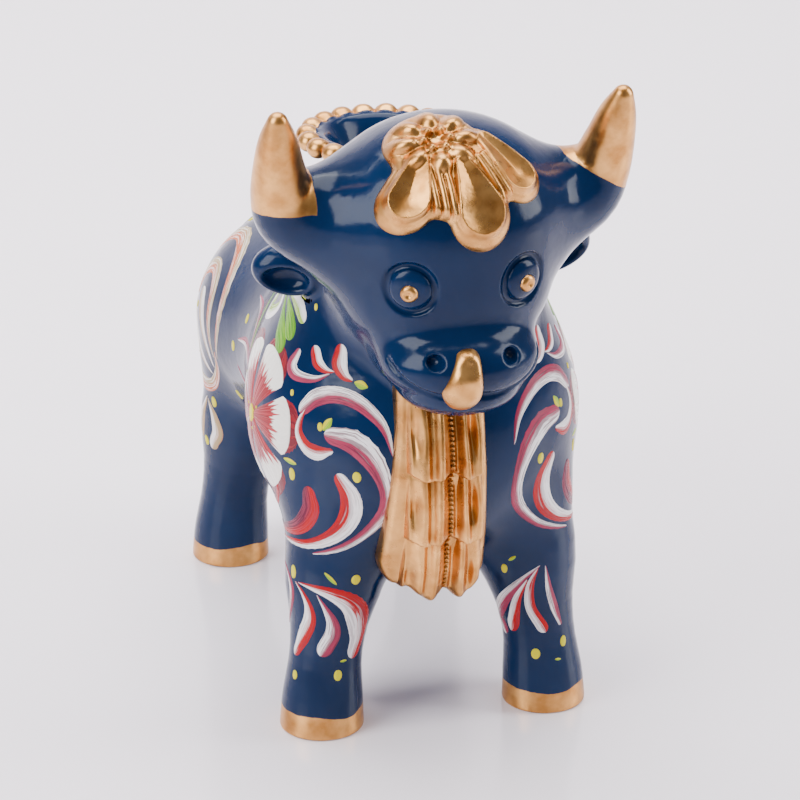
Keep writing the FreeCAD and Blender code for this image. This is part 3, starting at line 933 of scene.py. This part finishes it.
def tongue_height(points):
    """A soft crown with a dent near the tip."""
    a, b = tongue_chart(points)
    inside = np.maximum(-tongue_outline(points), 0)
    dent = np.exp(-((b - 14.6) / 1.9) ** 2 - ((a + 2.3) / 2.2) ** 2)
    return 1.3 + 0.9 * smoothstep(inside, 0, 3.4) - 0.9 * dent


RELIEF_PITCH = 0.36


def relief_piece(name, field, margin):
    """The closed mesh of a relief, in gold, in place of its CAD node."""
    low, high = BOXES[name]
    vertices, normals, faces = meshed(field, low - margin, high + margin, RELIEF_PITCH)
    piece = make_object(f"{name}_relief", vertices, faces, normals)
    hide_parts(name)
    return finish_piece(piece, LUSTRE)


relief_piece("forelock", plate(smooth_skin, forelock_height, forelock_outline, 1.4, 2.2), 4.0)
relief_piece("tongue", plate(smooth_skin, tongue_height, tongue_outline, 1.2, 1.8), 2.5)
relief_piece("dewlap", plate(dewlap_base, dewlap_height, dewlap_outline, 5.0, 1.8), 5.0)


def turned(name, profile, centre, axis, count=72):
    """A closed turned piece: rows of the profile are radius and height on its axis."""
    side, over, axis = cross_axes(axis)
    angles = np.linspace(0, 2 * math.pi, count, endpoint=False)
    around = np.cos(angles)[:, None] * side + np.sin(angles)[:, None] * over
    rings = [centre + radius * around + height * axis for radius, height in profile]
    vertices = np.vstack([*rings, centre + profile[0][1] * axis, centre + profile[-1][1] * axis])
    here = np.arange(count)
    after = np.roll(here, -1)
    foot, top, bottom = (len(profile) - 1) * count, len(vertices) - 2, len(vertices) - 1
    walls = [np.stack([here, here + count, after + count, after], 1) + row * count
             for row in range(len(profile) - 1)]
    polygons = np.vstack(walls).tolist()
    polygons += [(top, i, j) for i, j in zip(here.tolist(), after.tolist())]
    polygons += [(bottom, foot + j, foot + i) for i, j in zip(here.tolist(), after.tolist())]
    unpainted = np.full(len(vertices), UNPAINTED)
    return make_object(name, vertices, polygons, gold=unpainted, sole=unpainted)


def dome_profile(radius, rise, rows=10, depth=2.0):
    """A low dome with a rounded edge, and a foot that goes down into the skin."""
    angles = np.linspace(0.06, math.pi / 2, rows)
    profile = [(radius * math.sin(t), rise * math.cos(t)) for t in angles]
    return profile + [(radius, -depth)]


def pupil_profile():
    """A gold bead with a dimple pressed into it."""
    dimple = [(0.15, 0.72), (0.45, 0.80), (0.75, 1.08)]
    return dimple + [(1.1, 1.18), (1.5, 1.08), (1.85, 0.80), (2.1, 0.40), (2.2, -0.2), (2.2, -1.6)]


for side in SIDES:
    middle, way = eye_place(side)
    ball = turned(f"eye_{side}_ball", dome_profile(EYE_RADIUS - 0.85, 1.7), middle - 0.45 * way, way)
    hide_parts(f"eye_{side}")
    finish_piece(ball, GLAZE)
    bead = turned(f"pupil_{side}_bead", pupil_profile(), middle + 0.9 * way - 0.5 * Z, way)
    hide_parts(f"pupil_{side}")
    finish_piece(bead, LUSTRE)


# ----------------------------------------------------------- painted strokes
# Enamel strokes are thin closed ribbons that lie on the skin. A stroke is drawn
# on a flat chart as places and half widths, and then dropped onto the skin.
HEAD_STEPS = 6
STATIONS = 22
ACROSS = 9
EDGE_HEIGHT = -0.12
BURIED = 0.45
BROAD = 1.5
SHARP = 0.05


def rounded_head(rows, blunt):
    """A stroke's rows with a round end put before its first place."""
    start = rows[0]
    way = start[:2] - rows[1, :2]
    way = way / max(np.hypot(*way), 1e-6)
    turns = np.linspace(0.12, 0.94, HEAD_STEPS) * math.pi / 2
    head = [(*(start[:2] + way * start[2] * blunt * math.cos(t)), start[2] * math.sin(t)) for t in turns]
    return np.vstack([head, rows])


def stroke(*handles, blunt=1.0, thick=0.24):
    """A stroke through handles of place and half width, with its round head first."""
    rows = curve_through(np.array(handles, float), STATIONS)
    rows[:, 2] = np.maximum(rows[:, 2] * BROAD, SHARP)
    return {"rows": rounded_head(rows, blunt), "thick": thick}


def dot(a, b, radius, tall=1.2, thick=0.30):
    """A dab of paint, a little taller than wide."""
    turns = np.linspace(0.06, math.pi - 0.06, HEAD_STEPS + STATIONS)
    rows = np.array([(a, b + radius * tall * math.cos(t), radius * math.sin(t)) for t in turns])
    return {"rows": rows, "thick": thick}


def leaf(start, end, half):
    """A small pointed dab between two places."""
    start, end = np.array(start), np.array(end)
    turns = np.linspace(0, 1, HEAD_STEPS + STATIONS)
    rows = np.array([(*(start + (end - start) * t), max(half * math.sin(math.pi * t), SHARP))
                     for t in turns])
    return {"rows": rows, "thick": 0.22}


AHEAD = unit(np.array((-0.24, -0.896, 0.375)))
ASIDE = np.array((-1.0, -0.05, 0.10))
BEHIND = unit(np.array((-0.35, 0.90, 0.25)))


def chart(origin, way):
    """A flat chart that faces the given way: its origin, right, up and outward."""
    way = unit(way)
    right = unit(np.cross(Z, way))
    return origin, right, np.cross(way, right), way


# Strokes start this far outside their chart and may travel so far inward, in mm.
CHART_LIFT = 45
CHART_REACH = 70

LEG_LUMPS = [lump for name in BOXES if name.startswith("leg") for lump in PARTS[name]]
BODY_LUMPS = PARTS["torso"] + LEG_LUMPS


def grazed(start, way, reach):
    """Points moved along a direction to the body, or to where they pass nearest to it."""
    points = np.array(start, float)
    best, least = points.copy(), np.full(len(points), FAR)
    travelled = np.zeros(len(points))
    for _ in range(30):
        value = smooth_skin(points, BODY_LUMPS)
        nearer = (value < least) & (travelled < reach)
        best[nearer] = points[nearer]
        least[nearer] = value[nearer]
        stride = np.clip(value, -2, 6) * 0.9
        points += way * stride[:, None]
        travelled += stride
    return onto(best, steps=5)


def laid(strokes, place, mirror):
    """Centre lines of strokes on the skin: points and half widths for each."""
    origin, right, up, way = place
    rows = np.array([item["rows"] for item in strokes])
    flat = rows.reshape(-1, 3)
    start = origin + flat[:, :1] * right + flat[:, 1:2] * up + CHART_LIFT * way
    line = grazed(start, -way, CHART_REACH)
    if mirror:
        line = line * (-1, 1, 1)
    return line.reshape(*rows.shape[:2], 3), rows[:, :, 2]


def ribbons(line, half, thick):
    """Vertices and attributes of ribbons along lines on the skin."""
    count, stations = half.shape
    normal = unit(gradient(smooth_skin, line.reshape(-1, 3))).reshape(line.shape)
    along = unit(np.gradient(line, axis=1))
    side = unit(np.cross(normal, along))
    across = np.linspace(-1, 1, ACROSS)
    points = line[:, :, None] + side[:, :, None] * half[:, :, None, None] * across[:, None]
    points = onto(points.reshape(-1, 3), steps=3)
    ways = unit(gradient(smooth_skin, points))
    top = np.minimum(thick[:, None], half * 0.6)[:, :, None] * (1 - across**4) + EDGE_HEIGHT
    upper = points + ways * top.reshape(-1, 1)
    lower = points - ways * BURIED
    length = np.cumsum(np.linalg.norm(np.diff(line, axis=1, prepend=line[:, :1]), axis=2), 1)
    shape = (count, stations, ACROSS)
    seed = np.broadcast_to(np.arange(count)[:, None, None] * 7.3, shape).ravel()
    return {
        "vertices": np.vstack([upper, lower]),
        "across": np.tile(np.broadcast_to(across, shape).ravel(), 2),
        "along": np.tile(np.broadcast_to(length[:, :, None], shape).ravel(), 2),
        "seed": np.tile(seed, 2),
    }


def ribbon_faces(count, stations):
    """Faces of closed ribbons whose upper sheets all come before their lower ones."""
    below = count * stations * ACROSS
    grid = np.arange(below).reshape(count, stations, ACROSS)
    corners = [grid[:, :-1, :-1], grid[:, :-1, 1:], grid[:, 1:, 1:], grid[:, 1:, :-1]]
    cells = np.stack(corners, -1).reshape(-1, 4)
    edges = [(grid[:, :-1, 0], grid[:, 1:, 0]), (grid[:, 1:, -1], grid[:, :-1, -1]),
             (grid[:, 0, 1:], grid[:, 0, :-1]), (grid[:, -1, :-1], grid[:, -1, 1:])]
    walls = [np.stack([a, b, b + below, a + below], -1).reshape(-1, 4) for a, b in edges]
    return np.vstack([cells, cells[:, ::-1] + below, *walls])


def painted(name, material, *groups):
    """One named piece of enamel; each group is strokes, their chart and whether mirrored."""
    lines, halves, thick = [], [], []
    for strokes, place, mirror in groups:
        line, half = laid(strokes, place, mirror)
        lines.append(line)
        halves.append(half)
        thick += [item["thick"] for item in strokes]
    half = np.vstack(halves)
    made = ribbons(np.vstack(lines), half, np.array(thick))
    vertices = made.pop("vertices")
    piece = make_object(name, vertices, ribbon_faces(*half.shape), **made)
    piece.data.materials.append(material)
    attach(piece, "root")
    return piece


def streaked(name, stretch, noise_look, swing, sway, rough, bump):
    """A glossy paint with streaks along its strokes: material, shader, streaks and edge.

    The edge is how far across or along the stroke a point lies, moved about by the streaks.
    """
    material, shader = new_material(name)
    across, along, seed = (attribute(material, key) for key in ("across", "along", "seed"))
    sideways = arithmetic(material, "MULTIPLY", across, 5.0)
    lengthwise = arithmetic(material, "MULTIPLY", along, stretch)
    places = [("X", sideways), ("Y", lengthwise), ("Z", seed)]
    where = add(material, "ShaderNodeCombineXYZ", places).outputs[0]
    hairs = add(material, "ShaderNodeTexNoise", [("Vector", where)], **noise_look).outputs[0]
    moved = arithmetic(material, "MULTIPLY", arithmetic(material, "SUBTRACT", hairs, 0.5), swing)
    edge = arithmetic(material, "ADD", across if sway == "across" else along, moved)
    wire(material, remapped(material, hairs, 0.3, 0.7, *rough), shader, "Roughness")
    bumped(material, shader, hairs, *bump)
    shader.inputs["Specular IOR Level"].default_value = GLOSS
    return material, shader, hairs, edge


def enamel(name, left, right, streak, amount):
    """Paint from a brush loaded with two colours, with streaks of a third."""
    material, shader, hairs, wander = streaked(
        name, 0.07, {"Scale": 1.6, "Detail": 4.0}, 1.6, "across", (0.20, 0.34), (0.35, 0.0004))
    both = mixed(material, remapped(material, wander, -0.16, 0.16), left, right)
    drawn = arithmetic(material, "MULTIPLY", remapped(material, hairs, 0.51, 0.56), amount)
    wire(material, mixed(material, drawn, both, streak), shader, "Base Color")
    return material


def petal_enamel():
    """White paint that turns into red rays toward the middle of the flower."""
    material, shader, rays, reach = streaked(
        "petal_enamel", 0.0, {"Scale": 1.5, "Detail": 2.0}, 16.0, "along", (0.22, 0.32), (0.3, 0.0003))
    red = mixed(material, remapped(material, rays, 0.4, 0.6), DEEP_RED, RAY_RED)
    wire(material, mixed(material, remapped(material, reach, 6.4, 7.2), IVORY, red), shader, "Base Color")
    return material


WHITE = (0.90, 0.87, 0.87, 1)
IVORY = (0.86, 0.83, 0.77, 1)
DEEP_RED = (0.20, 0.002, 0.008, 1)
RAY_RED = (0.42, 0.020, 0.030, 1)
PINK = (0.34, 0.030, 0.075, 1)
RED = (0.42, 0.0, 0.003, 1)
PLUM = (0.11, 0.008, 0.030, 1)
WINE = (0.16, 0.012, 0.022, 1)
GREEN = (0.075, 0.27, 0.006, 1)
LIME = (0.27, 0.46, 0.010, 1)
YELLOW = (0.70, 0.60, 0.0, 1)
ORANGE = (0.52, 0.10, 0.012, 1)
BEIGE = (0.42, 0.31, 0.16, 1)

SHOULDER = spot("torso_shell", 0.12, 0.103, 0.366)
HIP = spot("torso_shell", 0.04, 0.770, 0.420)
FLANK = spot("torso_shell", 0.02, 0.264, 0.440)


def sole_spot(name):
    """The middle of a sole."""
    return np.array(leg_stations(name)[0][:3]) * (1, 1, 0)


SHOULDER_CHART = chart(SHOULDER, AHEAD)
FLANK_CHART = chart(FLANK, ASIDE)
HIP_CHART = chart(HIP, ASIDE)
RUMP_CHART = chart(spot("torso_shell", 0.20, 0.98, 0.45), BEHIND)

ROSE_SCROLLS = [
    stroke((-2.0, 16.3, 1.5), (0.5, 18.3, 1.8), (5, 19.0, 1.7), (10, 17.5, 1.6), (14.5, 14.0, 1.3),
           (17.5, 9.8, 0.8), (19.2, 3.5, 0.1)),
    stroke((5.2, 8.8, 1.9), (9.5, 7.6, 2.6), (13.6, 4.0, 2.5), (16.3, -0.5, 1.9), (17.6, -5, 1.5),
           (17.2, -9.0, 1.4), (14.9, -12.4, 1.2), (11.4, -15.6, 1.0), (7.5, -18.0, 0.8),
           (2.8, -19.5, 0.5), (-2, -20.0, 0.1)),
    stroke((-4.2, 29.0, 0.9), (-5.6, 26.2, 1.5), (-4.4, 23.8, 1.2), (0, 22.8, 0.7), (4, 24.0, 0.1)),
]
CRIMSON_COMMAS = [
    stroke((3.5, 5.2, 0.7), (0.6, 4.9, 1.6), (-2.0, 6.2, 1.5), (-3.8, 9.5, 1.1), (-3.6, 12.5, 0.7),
           (-2.2, 15.5, 0.3)),
    stroke((6.7, -2.2, 1.6), (8.6, -5.5, 2.2), (8.8, -9.5, 2.3), (6.8, -13.5, 2.0), (2.8, -16.4, 1.5),
           (-2, -17.6, 1.0), (-6, -16.8, 0.6), (-8.6, -15.0, 0.1)),
    stroke((0.4, 29.0, 1.3), (1.0, 26.6, 1.3), (2.9, 24.9, 0.7), (5.0, 24.4, 0.1)),
    stroke((6.5, 29.0, 1.5), (6.2, 26.2, 1.8), (7.4, 23.6, 1.1), (9.3, 22.3, 0.3)),
]
PLUM_COMMAS = [
    stroke((-1.5, -5.8, 1.7), (-1.2, -9.0, 2.2), (-2.8, -12.0, 2.1), (-5.4, -13.6, 1.5), (-8.4, -13.2, 0.8),
           (-10.4, -12.0, 0.1)),
    stroke((-9.8, -4.4, 1.3), (-9.9, -6.8, 1.2), (-11.8, -6.6, 0.2)),
]
GREEN_LEAVES = [
    stroke((-8.6, 32.2, 2.0), (-8.6, 35.0, 1.8), (-8.0, 40.0, 0.8), (-7.0, 44.9, 0.1)),
    stroke((-6.1, 35.3, 2.0), (-6.3, 38.5, 1.5), (-6.8, 43.4, 0.1)),
]
WHITE_LEAVES = [
    stroke((-3.2, 38.6, 1.5), (-4.0, 41.0, 1.6), (-6.4, 44.9, 0.2)),
    stroke((-11.8, 45.9, 1.2), (-12.5, 42.4, 1.6), (-11.8, 39.8, 1.7), (-9.4, 40.9, 1.3), (-7.8, 44.8, 0.3)),
]
SHOULDER_DOTS = [
    dot(0.4, 40.2, 0.75), dot(-5.5, 19.5, 0.7), dot(-5.7, -0.4, 1.25), dot(10.3, -1.0, 1.3, 1.0),
    dot(1.4, 11.2, 0.9),
]
SHOULDER_BUDS = [
    leaf((9.6, 22.0), (13.2, 20.6), 1.3), leaf((2.0, 10.2), (4.4, 13.4), 1.3),
    leaf((-8.0, 3.6), (-4.3, 1.9), 0.9), leaf((-3.9, 44.8), (-1.6, 41.6), 0.5),
]

RIGHT_LEG = {
    "crimson": [
        stroke((-5.8, 19.5, 1.1), (-4.2, 23.0, 1.6), (-2.7, 26.9, 1.5), (-2.9, 30.4, 1.0), (-4.4, 33.9, 0.5),
               (-6.3, 36.9, 0.1)),
        stroke((8.5, 19.8, 1.9), (9.5, 23.2, 2.6), (9.5, 27.4, 2.9), (7.8, 30.9, 2.4), (3.3, 33.4, 1.5),
               (-1.7, 35.1, 0.7), (-5.4, 36.4, 0.15)),
    ],
    "rose": [
        stroke((1.3, 20.0, 1.7), (3.0, 23.2, 1.7), (3.0, 26.4, 1.2), (1.3, 29.9, 0.6), (-0.9, 33.6, 0.1)),
        stroke((-7.9, 26.4, 0.4), (-7.1, 33.1, 0.9), (-7.5, 36.9, 0.7), (-8.9, 41.6, 0.2)),
    ],
    "dots": [dot(-6.6, 39.0, 1.2, 1.4), dot(8.9, 37.2, 1.4, 0.85), dot(-6.5, 12.9, 1.0),
             dot(4.3, 12.9, 1.25, 1.1)],
    "buds": [leaf((0.8, 39.3), (4.5, 35.6), 0.65), leaf((4.5, 16.3), (6.8, 16.8), 0.4)],
}
LEFT_LEG = {
    "crimson": [
        stroke((-8.1, 19.8, 1.5), (-7.3, 25.8, 0.9), (-4.9, 30.8, 0.2)),
        stroke((-0.9, 18.8, 1.2), (-3.9, 23.8, 1.1), (-4.1, 29.3, 0.8), (-2.1, 34.2, 0.1)),
    ],
    "rose": [
        stroke((-10.3, 18.8, 1.5), (-11.4, 22.3, 1.6), (-10.2, 26.3, 1.3), (-6.1, 30.8, 0.7),
               (-1.4, 34.7, 0.1)),
        stroke((3.6, 19.8, 0.5), (2.1, 23.8, 0.9), (0.6, 28.8, 0.7), (-0.4, 34.7, 0.1)),
    ],
    "dots": [dot(-10.6, 33.7, 0.95), dot(-2.4, 11.7, 1.35, 1.0), dot(4.6, 14.9, 1.1, 1.3)],
    "buds": [leaf((-9.8, 35.6), (-7.6, 37.0), 0.6), leaf((2.2, 10.2), (4.4, 10.3), 0.4)],
}

HIP_BANDS = [
    stroke((-14, 1, 1.4), (-15, 9, 1.9), (-10, 17.5, 2.2), (-1, 21.5, 2.2), (8, 18.5, 1.9), (13.5, 10.5, 1.4),
           (14.5, 0, 0.9), (12.5, -9, 0.2)),
    stroke((-8, 5, 1.8), (-5, 11, 2.1), (1.5, 13, 1.9), (6.5, 8.5, 1.4), (8.5, 0.5, 1.0), (10, -9.5, 0.2)),
    stroke((-8.5, -18, 1.7), (-2, -20.5, 2.0), (5, -19, 1.4), (10, -13, 0.8), (11.5, -7.5, 0.2)),
]
HIP_COMMAS = [
    stroke((0.5, 4.5, 1.8), (2.5, 0.5, 1.8), (5.5, -6.0, 1.1), (8.5, -13, 0.15)),
    stroke((-6.5, -1.0, 1.9), (-4.0, -6.0, 1.8), (0.5, -11.5, 1.2), (6.5, -15.5, 0.15)),
    stroke((-13.5, -6.5, 1.6), (-12.5, -11.0, 1.8), (-8.0, -13.0, 1.4), (-3.5, -12.5, 0.2)),
]
HIP_DOTS = [dot(-9.5, 23.5, 1.1), dot(-12.5, 22.0, 0.7), dot(3.0, -25.0, 1.3), dot(-3.5, 1.0, 0.8),
            dot(16.0, -18.0, 1.1), dot(-2.0, -38.0, 1.2)]
THIGH_COMMAS = [
    stroke((1.0, -38.0, 1.3), (3.0, -34.0, 1.6), (2.5, -29.5, 1.1), (0.0, -25.0, 0.15)),
    stroke((-4.5, -36.0, 1.2), (-4.0, -31.5, 1.5), (-2.5, -28.0, 0.9), (-0.5, -24.5, 0.15)),
]
RUMP_BANDS = [
    stroke((8, 10, 1.7), (4, 15, 2.0), (-2.5, 13, 1.6), (-3.5, 6, 1.1), (-0.5, 0, 0.15)),
    stroke((2, 7.5, 1.6), (4.5, 2.5, 1.7), (3.0, -5.0, 1.1), (-1.5, -11, 0.15)),
]
FLANK_SPRAY = [
    stroke((-27, 3, 1.3), (-30, 10, 1.6), (-36, 14, 1.1), (-45, 15, 0.1)),
    stroke((-28, -6, 1.5), (-33, 0, 1.8), (-41, 3, 1.2), (-50, 1, 0.1)),
    stroke((-29, -13, 1.3), (-35, -15, 1.6), (-43, -12, 1.1), (-51, -6, 0.1)),
]
SPRAY_LEAVES = [
    stroke((-24, -16, 1.5), (-27, -21, 1.6), (-33, -24, 0.9), (-39, -24, 0.1)),
    stroke((-22, 11, 1.4), (-24, 18, 1.6), (-29, 23, 0.9), (-35, 25, 0.1)),
]
SPRAY_DOTS = [dot(-46, 8, 1.1), dot(-53, -2, 1.2), dot(-40, 20, 1.0), dot(-42, -19, 1.1), dot(-25, 1, 0.8)]

FLOWER_PETALS = 6
FLOWER_TURNS = [math.radians(8 + 360 * number / FLOWER_PETALS) for number in range(FLOWER_PETALS)]


def ray_stroke(turn, outer, inner, outer_half, inner_half, thick):
    """A petal: a wide stroke from the flower's edge in to its middle."""
    way = np.array((math.cos(turn), math.sin(turn)))
    handles = [(*(way * (outer + (inner - outer) * t)), outer_half + (inner_half - outer_half) * t**0.9)
               for t in np.linspace(0, 1, 5)]
    return stroke(*handles, blunt=0.42, thick=thick)


FLOWER_EDGE = [ray_stroke(turn, 16.6, 1.0, 7.9, 0.8, 0.16) for turn in FLOWER_TURNS]
FLOWER_FACE = [ray_stroke(turn, 15.2, 1.6, 5.9, 0.8, 0.30) for turn in FLOWER_TURNS]
FLOWER_BEADS = [dot(3.9 * math.cos(t), 3.9 * math.sin(t), 0.5, 1.0, 0.5)
                for t in np.linspace(0, 2 * math.pi, 9, endpoint=False)]
FLOWER_EYE = [dot(0, 0, 2.3, 1.0, 0.5)]


def paint_sides():
    """The scrolls, flowers, leaves and dots: the same on each side, as a painter repeats them."""
    rose = enamel("rose_enamel", PINK, WHITE, PLUM, 0.75)
    crimson = enamel("crimson_enamel", RED, WHITE, PLUM, 0.35)
    plum = enamel("plum_enamel", PLUM, RED, PINK, 0.5)
    green = enamel("green_enamel", GREEN, GREEN, LIME, 0.6)
    pale = enamel("pale_leaf_enamel", WHITE, LIME, WHITE, 0.3)
    lime = enamel("lime_enamel", LIME, YELLOW, LIME, 0.4)
    yellow = enamel("yellow_enamel", YELLOW, YELLOW, LIME, 0.15)
    ochre = enamel("ochre_enamel", ORANGE, BEIGE, WHITE, 0.55)
    cream = enamel("cream_enamel", BEIGE, WHITE, ORANGE, 0.35)
    wine = enamel("wine_enamel", WINE, WINE, RED, 0.35)
    petals = petal_enamel()
    for side, mirror in (("right", False), ("left", True)):
        legs = RIGHT_LEG if side == "right" else LEFT_LEG
        foot = chart(sole_spot(f"leg_front_{side}"), AHEAD)
        for name, material, *groups in (
            ("rose_scrolls", rose, (ROSE_SCROLLS, SHOULDER_CHART, mirror), (legs["rose"], foot, False),
             (FLANK_SPRAY, FLANK_CHART, mirror)),
            ("crimson_commas", crimson, (CRIMSON_COMMAS, SHOULDER_CHART, mirror),
             (legs["crimson"], foot, False)),
            ("plum_commas", plum, (PLUM_COMMAS, SHOULDER_CHART, mirror)),
            ("green_leaves", green, (GREEN_LEAVES, SHOULDER_CHART, mirror),
             (SPRAY_LEAVES, FLANK_CHART, mirror)),
            ("pale_leaves", pale, (WHITE_LEAVES, SHOULDER_CHART, mirror)),
            ("lime_buds", lime, (SHOULDER_BUDS, SHOULDER_CHART, mirror), (legs["buds"], foot, False)),
            ("yellow_dots", yellow, (SHOULDER_DOTS, SHOULDER_CHART, mirror), (legs["dots"], foot, False),
             (HIP_DOTS, HIP_CHART, mirror), (SPRAY_DOTS, FLANK_CHART, mirror)),
            ("ochre_bands", ochre, (HIP_BANDS, HIP_CHART, mirror), (RUMP_BANDS, RUMP_CHART, mirror)),
            ("cream_commas", cream, (HIP_COMMAS, HIP_CHART, mirror), (THIGH_COMMAS, HIP_CHART, mirror)),
            ("flower_edge", wine, (FLOWER_EDGE, FLANK_CHART, mirror)),
            ("flower_petals", petals, (FLOWER_FACE, FLANK_CHART, mirror)),
            ("flower_beads", yellow, (FLOWER_BEADS + FLOWER_EYE, FLANK_CHART, mirror)),
        ):
            painted(f"{name}_{side}", material, *groups)


paint_sides()


# ------------------------------------------------------- stage, light, camera

def stage_floor():
    """A pale sheet that runs back from under the figure and curves up behind it."""
    depth, bend, height, half = 900.0, 500.0, 2200.0, 3000.0
    angles = np.linspace(0, math.pi / 2, 24)
    rows = [(-2500.0, 0.0)]
    rows += [(depth + bend * math.sin(t), bend * (1 - math.cos(t))) for t in angles]
    rows.append((depth + bend, height))
    points = [(x, y, z) for y, z in rows for x in (-half, half)]
    polygons = [(2 * i, 2 * i + 1, 2 * i + 3, 2 * i + 2) for i in range(len(rows) - 1)]
    sheet = make_object("backdrop", points, polygons)
    material, shader = new_material("backdrop_paper")
    tone = mixed(material, noise(material, 3, 2), (0.94, 0.875, 0.94, 1), (0.96, 0.895, 0.96, 1))
    wire(material, tone, shader, "Base Color")
    shader.inputs["Roughness"].default_value = 0.16
    sheet.data.materials.append(material)


def area_light(name, place, aim, size, power, tint=(1.0, 1.0, 1.0)):
    """A soft rectangular light that faces a point; sizes and places in millimetres."""
    lamp = bpy.data.lights.new(name, "AREA")
    lamp.shape = "RECTANGLE"
    lamp.size, lamp.size_y = (value * METRE for value in size)
    lamp.energy = power
    lamp.color = tint
    holder = bpy.data.objects.new(name, lamp)
    bpy.context.scene.collection.objects.link(holder)
    way = Vector(aim) - Vector(place)
    holder.location = Vector(place) * METRE
    holder.rotation_euler = way.to_track_quat("-Z", "Y").to_euler()


def soft_world():
    """Pale, even light from all round."""
    world = bpy.data.worlds.new("soft_room")
    bpy.context.scene.world = world
    world.use_nodes = True
    background = world.node_tree.nodes["Background"]
    background.inputs["Color"].default_value = (0.93, 0.93, 1.0, 1)
    background.inputs["Strength"].default_value = 0.30


def main_camera():
    """A long lens a little above the bull, in front of its right shoulder."""
    azimuth, elevation = math.radians(-15.0), math.radians(22.0)
    aim = np.array((-0.2, -14.5, 72.2))
    level, distance = math.cos(elevation), 900.0
    back = np.array((math.sin(azimuth) * level, -math.cos(azimuth) * level, math.sin(elevation)))
    lens = bpy.data.cameras.new("camera")
    lens.lens = 159.2
    lens.sensor_width = 36.0
    lens.clip_start, lens.clip_end = 0.05, 20.0
    holder = bpy.data.objects.new("camera", lens)
    bpy.context.scene.collection.objects.link(holder)
    holder.location = Vector(aim + distance * back) * METRE
    holder.rotation_euler = Vector(-back).to_track_quat("-Z", "Y").to_euler()
    bpy.context.scene.camera = holder


stage_floor()
soft_world()
area_light("left_window", (-900, -350, 650), (0, 0, 80), (600, 900), 15.0)
area_light("right_window", (900, -250, 550), (0, 0, 80), (450, 900), 10.0)
area_light("overhead", (0, 250, 1150), (0, 120, 60), (1100, 900), 22.0)
area_light("backdrop_wash", (0, 450, 1000), (0, 1400, 300), (1800, 500), 22.0)
main_camera()
